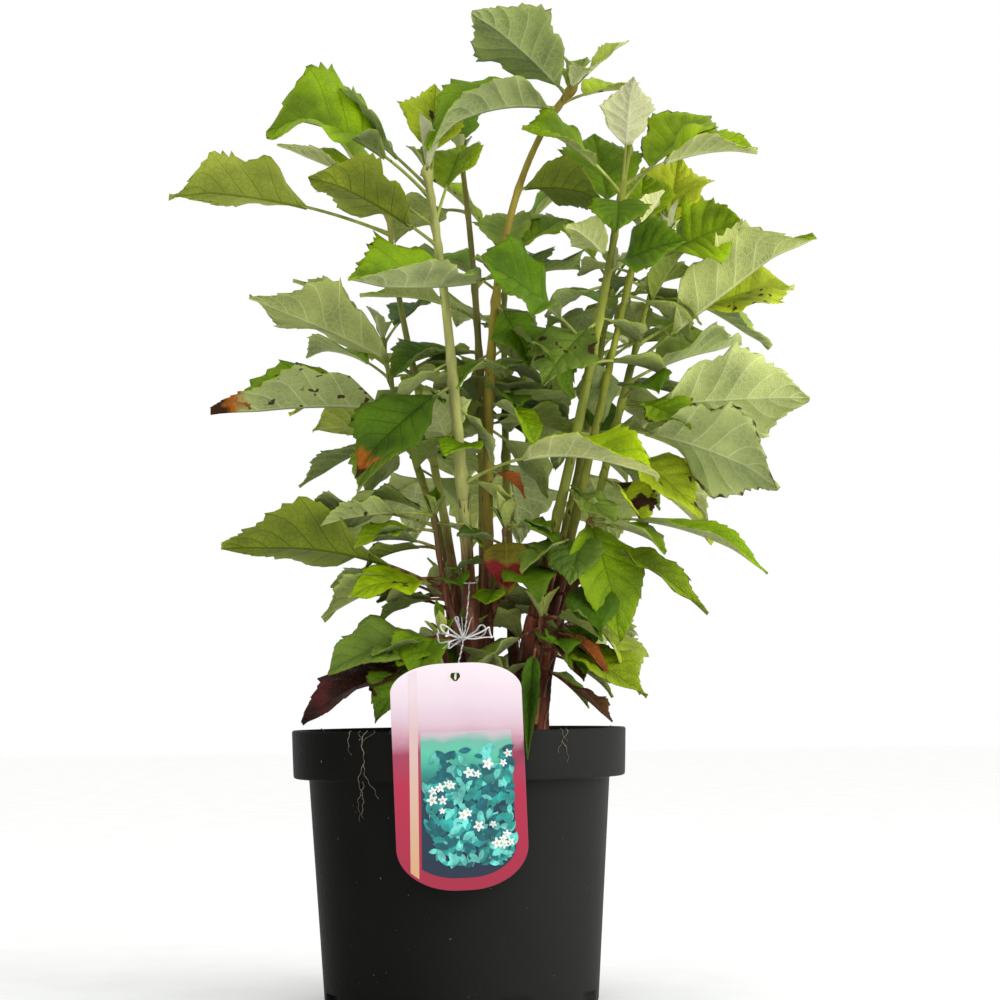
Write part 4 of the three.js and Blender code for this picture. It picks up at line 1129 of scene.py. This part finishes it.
# Clips a convex outline to one side of a line a x + b z <= c.
def clipped(outline, a, b, c):
    made = []
    for p, q in zip(outline, np.roll(outline, -1, axis=0)):
        dp, dq = a * p[0] + b * p[1] - c, a * q[0] + b * q[1] - c
        if dp <= 0:
            made.append(p)
        if dp * dq < 0:
            made.append(p + (q - p) * dp / (dp - dq))
    return np.array(made)


def printed(outline, level, slot, dome=0.0):  # a printed patch that stands a hair proud of the plate
    face = label["back"] - label["thick"]
    return leant(prism(outline, face - 0.05 * level, face + 0.05, slot, dome))


def leafShape(x, z, length, turn):  # a lens: 0.23 length sin(pi s)^0.8 on both sides of a midrib
    s = np.linspace(0, 1, 7)
    w = 0.23 * length * np.sin(np.pi * s) ** 0.8
    loop = np.concatenate([np.stack([s * length, w], 1), np.stack([s[-2:0:-1] * length, -w[-2:0:-1]], 1)])
    c, d = math.cos(turn), math.sin(turn)
    return loop @ np.array([[c, d], [-d, c]]) + (x, z)


def starShape(x, z, radius, turn, arms=5):  # radius * (0.74 + 0.26 cos(arms * angle))
    a = np.linspace(0, fullTurn, arms * 6, endpoint=False)
    r = radius * (0.74 + 0.26 * np.cos(arms * a))
    return np.stack([x + r * np.cos(a + turn), z + r * np.sin(a + turn)], 1)


def onPanel(x, z, edge):  # inside the planted part of the panel by an edge: a box whose foot is rounded
    aside = max(0, abs(x - planted["middle"]) - planted["flat"])
    rounded = np.hypot(aside, max(0, planted["low"] - z)) < planted["round"] - edge
    between = planted["left"] + edge < x < planted["right"] - edge
    return rounded and between and z < planted["top"] - edge


def graded(name, stops, wander=0.004):  # glossy print whose colour follows the height, wandering by a few mm
    made, tree, shader, place = newPaint(name, 0.4)
    foot, top = label["bottom"] * mm, (label["bottom"] + label["height"]) * mm
    share = wandering(tree, place, "Z", noise(tree, place, 60.0, 3.0), wander, foot, top)
    tree.links.new(ramp(tree, share, stops), shader.inputs["Base Color"])
    shader.inputs["Roughness"].default_value = 0.3
    return made


def makeLabel():
    slant, (left, right) = prints["slant"], prints["stripe"]
    stripe = clipped(plateOutline(prints["stripeInset"]), 1, -slant, right)
    stripe = clipped(clipped(stripe, -1, slant, -left), 0, -1, -prints["stripeFoot"])
    panel = clipped(plateOutline(prints["panelInset"]), -1, slant, -prints["panelLeft"])
    panel = clipped(panel, 0, 1, prints["panelTop"])
    field = clipped(plateOutline(prints["fieldInset"]), 0, 1, prints["fieldTop"])
    parts = [makePlate(), printed(field, 1, 1), printed(stripe, 2, 2), printed(panel, 2, 3)]
    rng = np.random.default_rng(21)
    for k in range(prints["sprigs"]):
        x, z = rng.uniform(planted["left"], planted["right"]), rng.uniform(*prints["sprigHeights"])
        turn, length = rng.uniform(0, fullTurn), rng.uniform(*prints["sprigLong"])
        tipInside = onPanel(x + length * math.cos(turn), z + length * math.sin(turn), 0)
        if onPanel(x, z, 2) and tipInside and rng.random() < 1.7 - z / 60:
            level = prints["sprigLevel"] + 0.015 * k
            parts.append(printed(leafShape(x, z, length, turn), level, 4 + k % 3))
    for k in range(prints["stars"]):
        share = (k + 0.5) / prints["stars"]
        x = planted["middle"] + prints["starSwing"] * math.sin(7.1 * share + 0.6) + rng.uniform(-3, 3)
        z = mix(*prints["starHeights"], share) + rng.uniform(-3, 3)
        if onPanel(x, z, 2.4):
            radius = rng.uniform(*prints["starSize"])
            star, eye = starShape(x, z, radius, rng.uniform(0, 6)), starShape(x, z, radius * 0.3, 0, 4)
            parts.append(printed(star, prints["starLevel"] + 0.1 * k, 7, 0.25))
            parts.append(printed(eye, prints["eyeLevel"] + 0.1 * k, 8, 0.1))
    paints = [
        graded("glossy printed plate", [
            (0.0, (150, 30, 62)), (0.6, (170, 60, 92)), (0.68, (196, 150, 166)), (0.74, (208, 182, 194)),
            (0.84, (222, 204, 214)), (0.97, (232, 218, 224))]),
        graded("crimson print", [
            (0.0, (156, 30, 60)), (0.45, (172, 34, 66)), (0.6, (156, 58, 86)), (0.66, (188, 140, 158))]),
        graded("peach print", [
            (0.1, (204, 160, 120)), (0.4, (206, 170, 150)), (0.7, (208, 178, 178)), (0.9, (224, 206, 212))]),
        graded("sea print", [
            (0.1, (22, 40, 60)), (0.42, (20, 58, 74)), (0.52, (46, 140, 128)), (0.6, (88, 190, 158)),
            (0.65, (104, 176, 156)), (0.69, (192, 178, 186))], 0.006),
    ]
    inks = {
        "teal": ((36, 150, 144), 0.2), "deep teal": ((14, 98, 108), 0.2), "light teal": ((98, 196, 184), 0.2),
        "white": ((226, 234, 232), 0.06), "straw": ((208, 196, 140), 0.1),
    }
    paints += [finish(f"{ink} print", colour, shade, 160, 0.3, 0.4) for ink, (colour, shade) in inks.items()]
    addMesh("label", parts, paints, ["plant_label"], smooth=False)


thread = {  # where it holds the stem, and how far it stands before the plate, in the eye and off the stem
    "hold": 236, "before": 1.6, "inEye": 0.45, "clear": 1.7, "twist": 0.26, "strand": 0.24,
    "turns": 15, "round": 0.42, "knot": 0.6, "tails": 5,
    "bow": [(-12, 6, 1.9), (-15, 1, 2.5), (-9, -4, 1.6), (11, 5, 2.2), (16, 3, 2.4), (-4, 12, 1.6)],
}


# Two strands twisted round a path: path + r (cos a, sin a) across it, half a turn apart.
def twisted(path, radius, strand, turns):
    first, second = squareTo(unit(np.gradient(path, axis=0)))
    share = np.linspace(0, fullTurn * turns, len(path))[:, None]
    strands = []
    for slot in (0, 1):
        a = share + np.pi * slot
        turned = path + radius * (np.cos(a) * first + np.sin(a) * second)
        strands.append(tube(turned, np.full(len(path), strand), 7, slot=slot, ends=0.6))
    return strands


# The thread: from the eye up to the stem and round it, back through the eye, and a bow whose loops are
# reach * sin(pi s) sideways, drawn in and out by small uneven waves.
def makeThread():
    back, front = label["back"], label["back"] - label["thick"] - thread["before"]
    curve, girth = stems["front_left"]["curve"], stems["front_left"]["girth"]
    share = shareAt(curve, thread["hold"])
    hold, girth = curveAt(curve, share), mix(*girth, share)
    end = hold + (0, -girth - gap - thread["clear"], 0)
    top = label["bottom"] + label["eyeHeight"] + label["eye"] - thread["inEye"] - gap
    lean = (end[0] - 1, mix(front, end[1], 0.55), mix(top, end[2], 0.35))
    steer = [(0, front, top - 0.6), (0, front + 14, top), lean, end]
    parts = twisted(curveAt(steer, np.linspace(0, 1, 90)), thread["twist"], thread["strand"], thread["turns"])
    a = np.linspace(0, fullTurn, 40)
    ring = hold + np.stack([(girth + 0.5) * np.cos(a), (girth + 0.5) * np.sin(a), 0.8 * np.sin(a)], 1)
    parts.append(tube(ring, np.full(len(a), thread["round"]), 8, across=(0, 0, 1)))
    dip = [  # down the front of the plate, through the eye and up its back
        (0, front, top - 0.6), (-0.6, front - 0.4, top - 4.5), (0.8, back + 1.6, top - 5.0),
        (0.6, back + 2.2, top + 3)]
    parts.append(tube(curveAt(dip, np.linspace(0, 1, 24)), np.full(24, 0.4), 7))
    knotAt = curveAt(steer, thread["knot"])
    rng = np.random.default_rng(12)
    s = np.linspace(0, 1, 44)
    bulge, swing = np.sin(np.pi * s), np.sin(fullTurn * s)
    flattened = 1 + 0.9 * np.abs(np.cos(np.linspace(0, fullTurn, 8, endpoint=False))) + 0 * s[:, None]
    for k, (reach, rise, wide) in enumerate(thread["bow"]):
        uneven = rng.uniform(0.7, 1.6) * np.sin(fullTurn * (2 * s + rng.random())) * bulge
        loop = np.stack([
            reach * bulge.clip(0) ** 0.8 + uneven, 1.8 * np.sin(fullTurn * s + k) - 1.0,
            rise * bulge + wide * swing + uneven[::-1],
        ], 1)
        parts.append(tube(knotAt + loop, thread["strand"] * flattened, 8, slot=k % 2 * 2))
    t = np.linspace(0, 1, 18)
    for k in range(thread["tails"]):
        aside, rise = rng.uniform(-15, 15), rng.uniform(-9, 12)
        tail = np.stack([aside * t, -2 * t, rise * t + 2 * np.sin(5 * t + k) * t], 1)
        parts.append(tube(knotAt + tail, mix(0.26, 0.1, t), 6, slot=k % 2 * 2))
    a = np.linspace(0, fullTurn, 14)
    for k in range(3):
        turn = np.stack([0.9 * np.cos(a), 0.9 * np.sin(a), 0.6 * (k - 1) + 0.2 * np.sin(2 * a)], 1)
        parts.append(tube(knotAt + turn, np.full(14, 0.34), 7, across=(0, 0, 1)))
    shades = {
        "white": ((236, 236, 232), 0.1), "dark": ((150, 146, 140), 0.3), "grey": ((188, 190, 188), 0.15)}
    paints = [finish(f"{name} thread", *values, 500, 0.8, 0.2, 0.8, 2500) for name, values in shades.items()]
    addMesh("thread", parts, paints, ["label_tie"])


makeLabel()
makeThread()
print("label and thread")

# Fine roots over the rim: heading round the pot in degrees from -Y towards +X, where it starts, how far it
# hangs, its sideways drift and its radius.
rootPaths = [
    (-38.0, 0, 12, 2.5, 0.26), (-31.0, 0, 48, -7, 0.3), (-31.6, 17, 36, 6, 0.2), (-32.4, 26, 50, -10, 0.16),
    (-27.5, 0, 4, -8, 0.22), (-34.0, 0, 9, 4, 0.2), (38.5, 0, 12, -5, 0.26), (36.5, 0, 6, 5, 0.2),
    (37.2, 5, 17, 3, 0.16), (-21.0, 0, 3, 4, 0.2), (150.0, 0, 20, 4, 0.25), (110.0, 0, 12, -4, 0.25),
    (-120.0, 0, 18, 5, 0.25), (-122.0, 8, 24, -5, 0.18),
]
lip = 4  # the point of the way below at which a root is over the rim


# A root: out of the soil, over the lip and down the wall, kinked sideways by two sines.
def rootPath(heading, begin, hang, drift, seed):
    top, foot = pot["height"], pot["height"] - pot["rimBand"]
    rimTop, rimFoot, shoulder = pot["rimTop"], pot["rimFoot"], pot["shoulder"]
    way = np.array([
        (74, soilLevel), (84, soilLevel + 5), (rimTop - 4, top - 3), (rimTop - 1.2, top + 0.5),
        (rimTop + 0.4, top - 0.8), (rimTop + 0.35, top - 4), (rimTop + 0.3, top - 9),
        (rimFoot + 0.5, top - 20), (rimFoot + 0.6, foot), (rimFoot - 2, foot - 8), (shoulder + 3, foot - 14),
        (shoulder + 0.6, foot - 22), (shoulder - 0.4, foot - 34)])
    reach = np.concatenate([[0], np.cumsum(np.linalg.norm(np.diff(way, axis=0), axis=1))])
    over = reach[lip]
    along = np.linspace(over + begin if begin else 0, min(over + hang, reach[-1]), 60)
    r, z = np.interp(along, reach, way[:, 0]), np.interp(along, reach, way[:, 1])
    past = np.maximum(0, along - over - begin) / max(hang - begin, 1)
    kinks = 1.2 * np.sin(along * 0.31 + seed) + 0.5 * np.sin(along * 1.15 + 2 * seed)
    a = math.radians(heading) + (drift * past + kinks * np.minimum(1, along / 20)) / r
    return np.stack([r * np.sin(a), -r * np.cos(a), z], 1)


parts = []
for k, (heading, begin, hang, drift, radius) in enumerate(rootPaths):
    path = rootPath(heading, begin, hang, drift, k)
    parts.append(tube(path, np.linspace(radius, 0.35 * radius, len(path)), 7, across=(0.3, 0.3, 0.9)))
addMesh("roots", parts, [finish("root fibre", (132, 122, 106), 0.25, 300, 0.8, 0.2, 0.5, 900)])
print("roots")

bpy.context.view_layer.update()
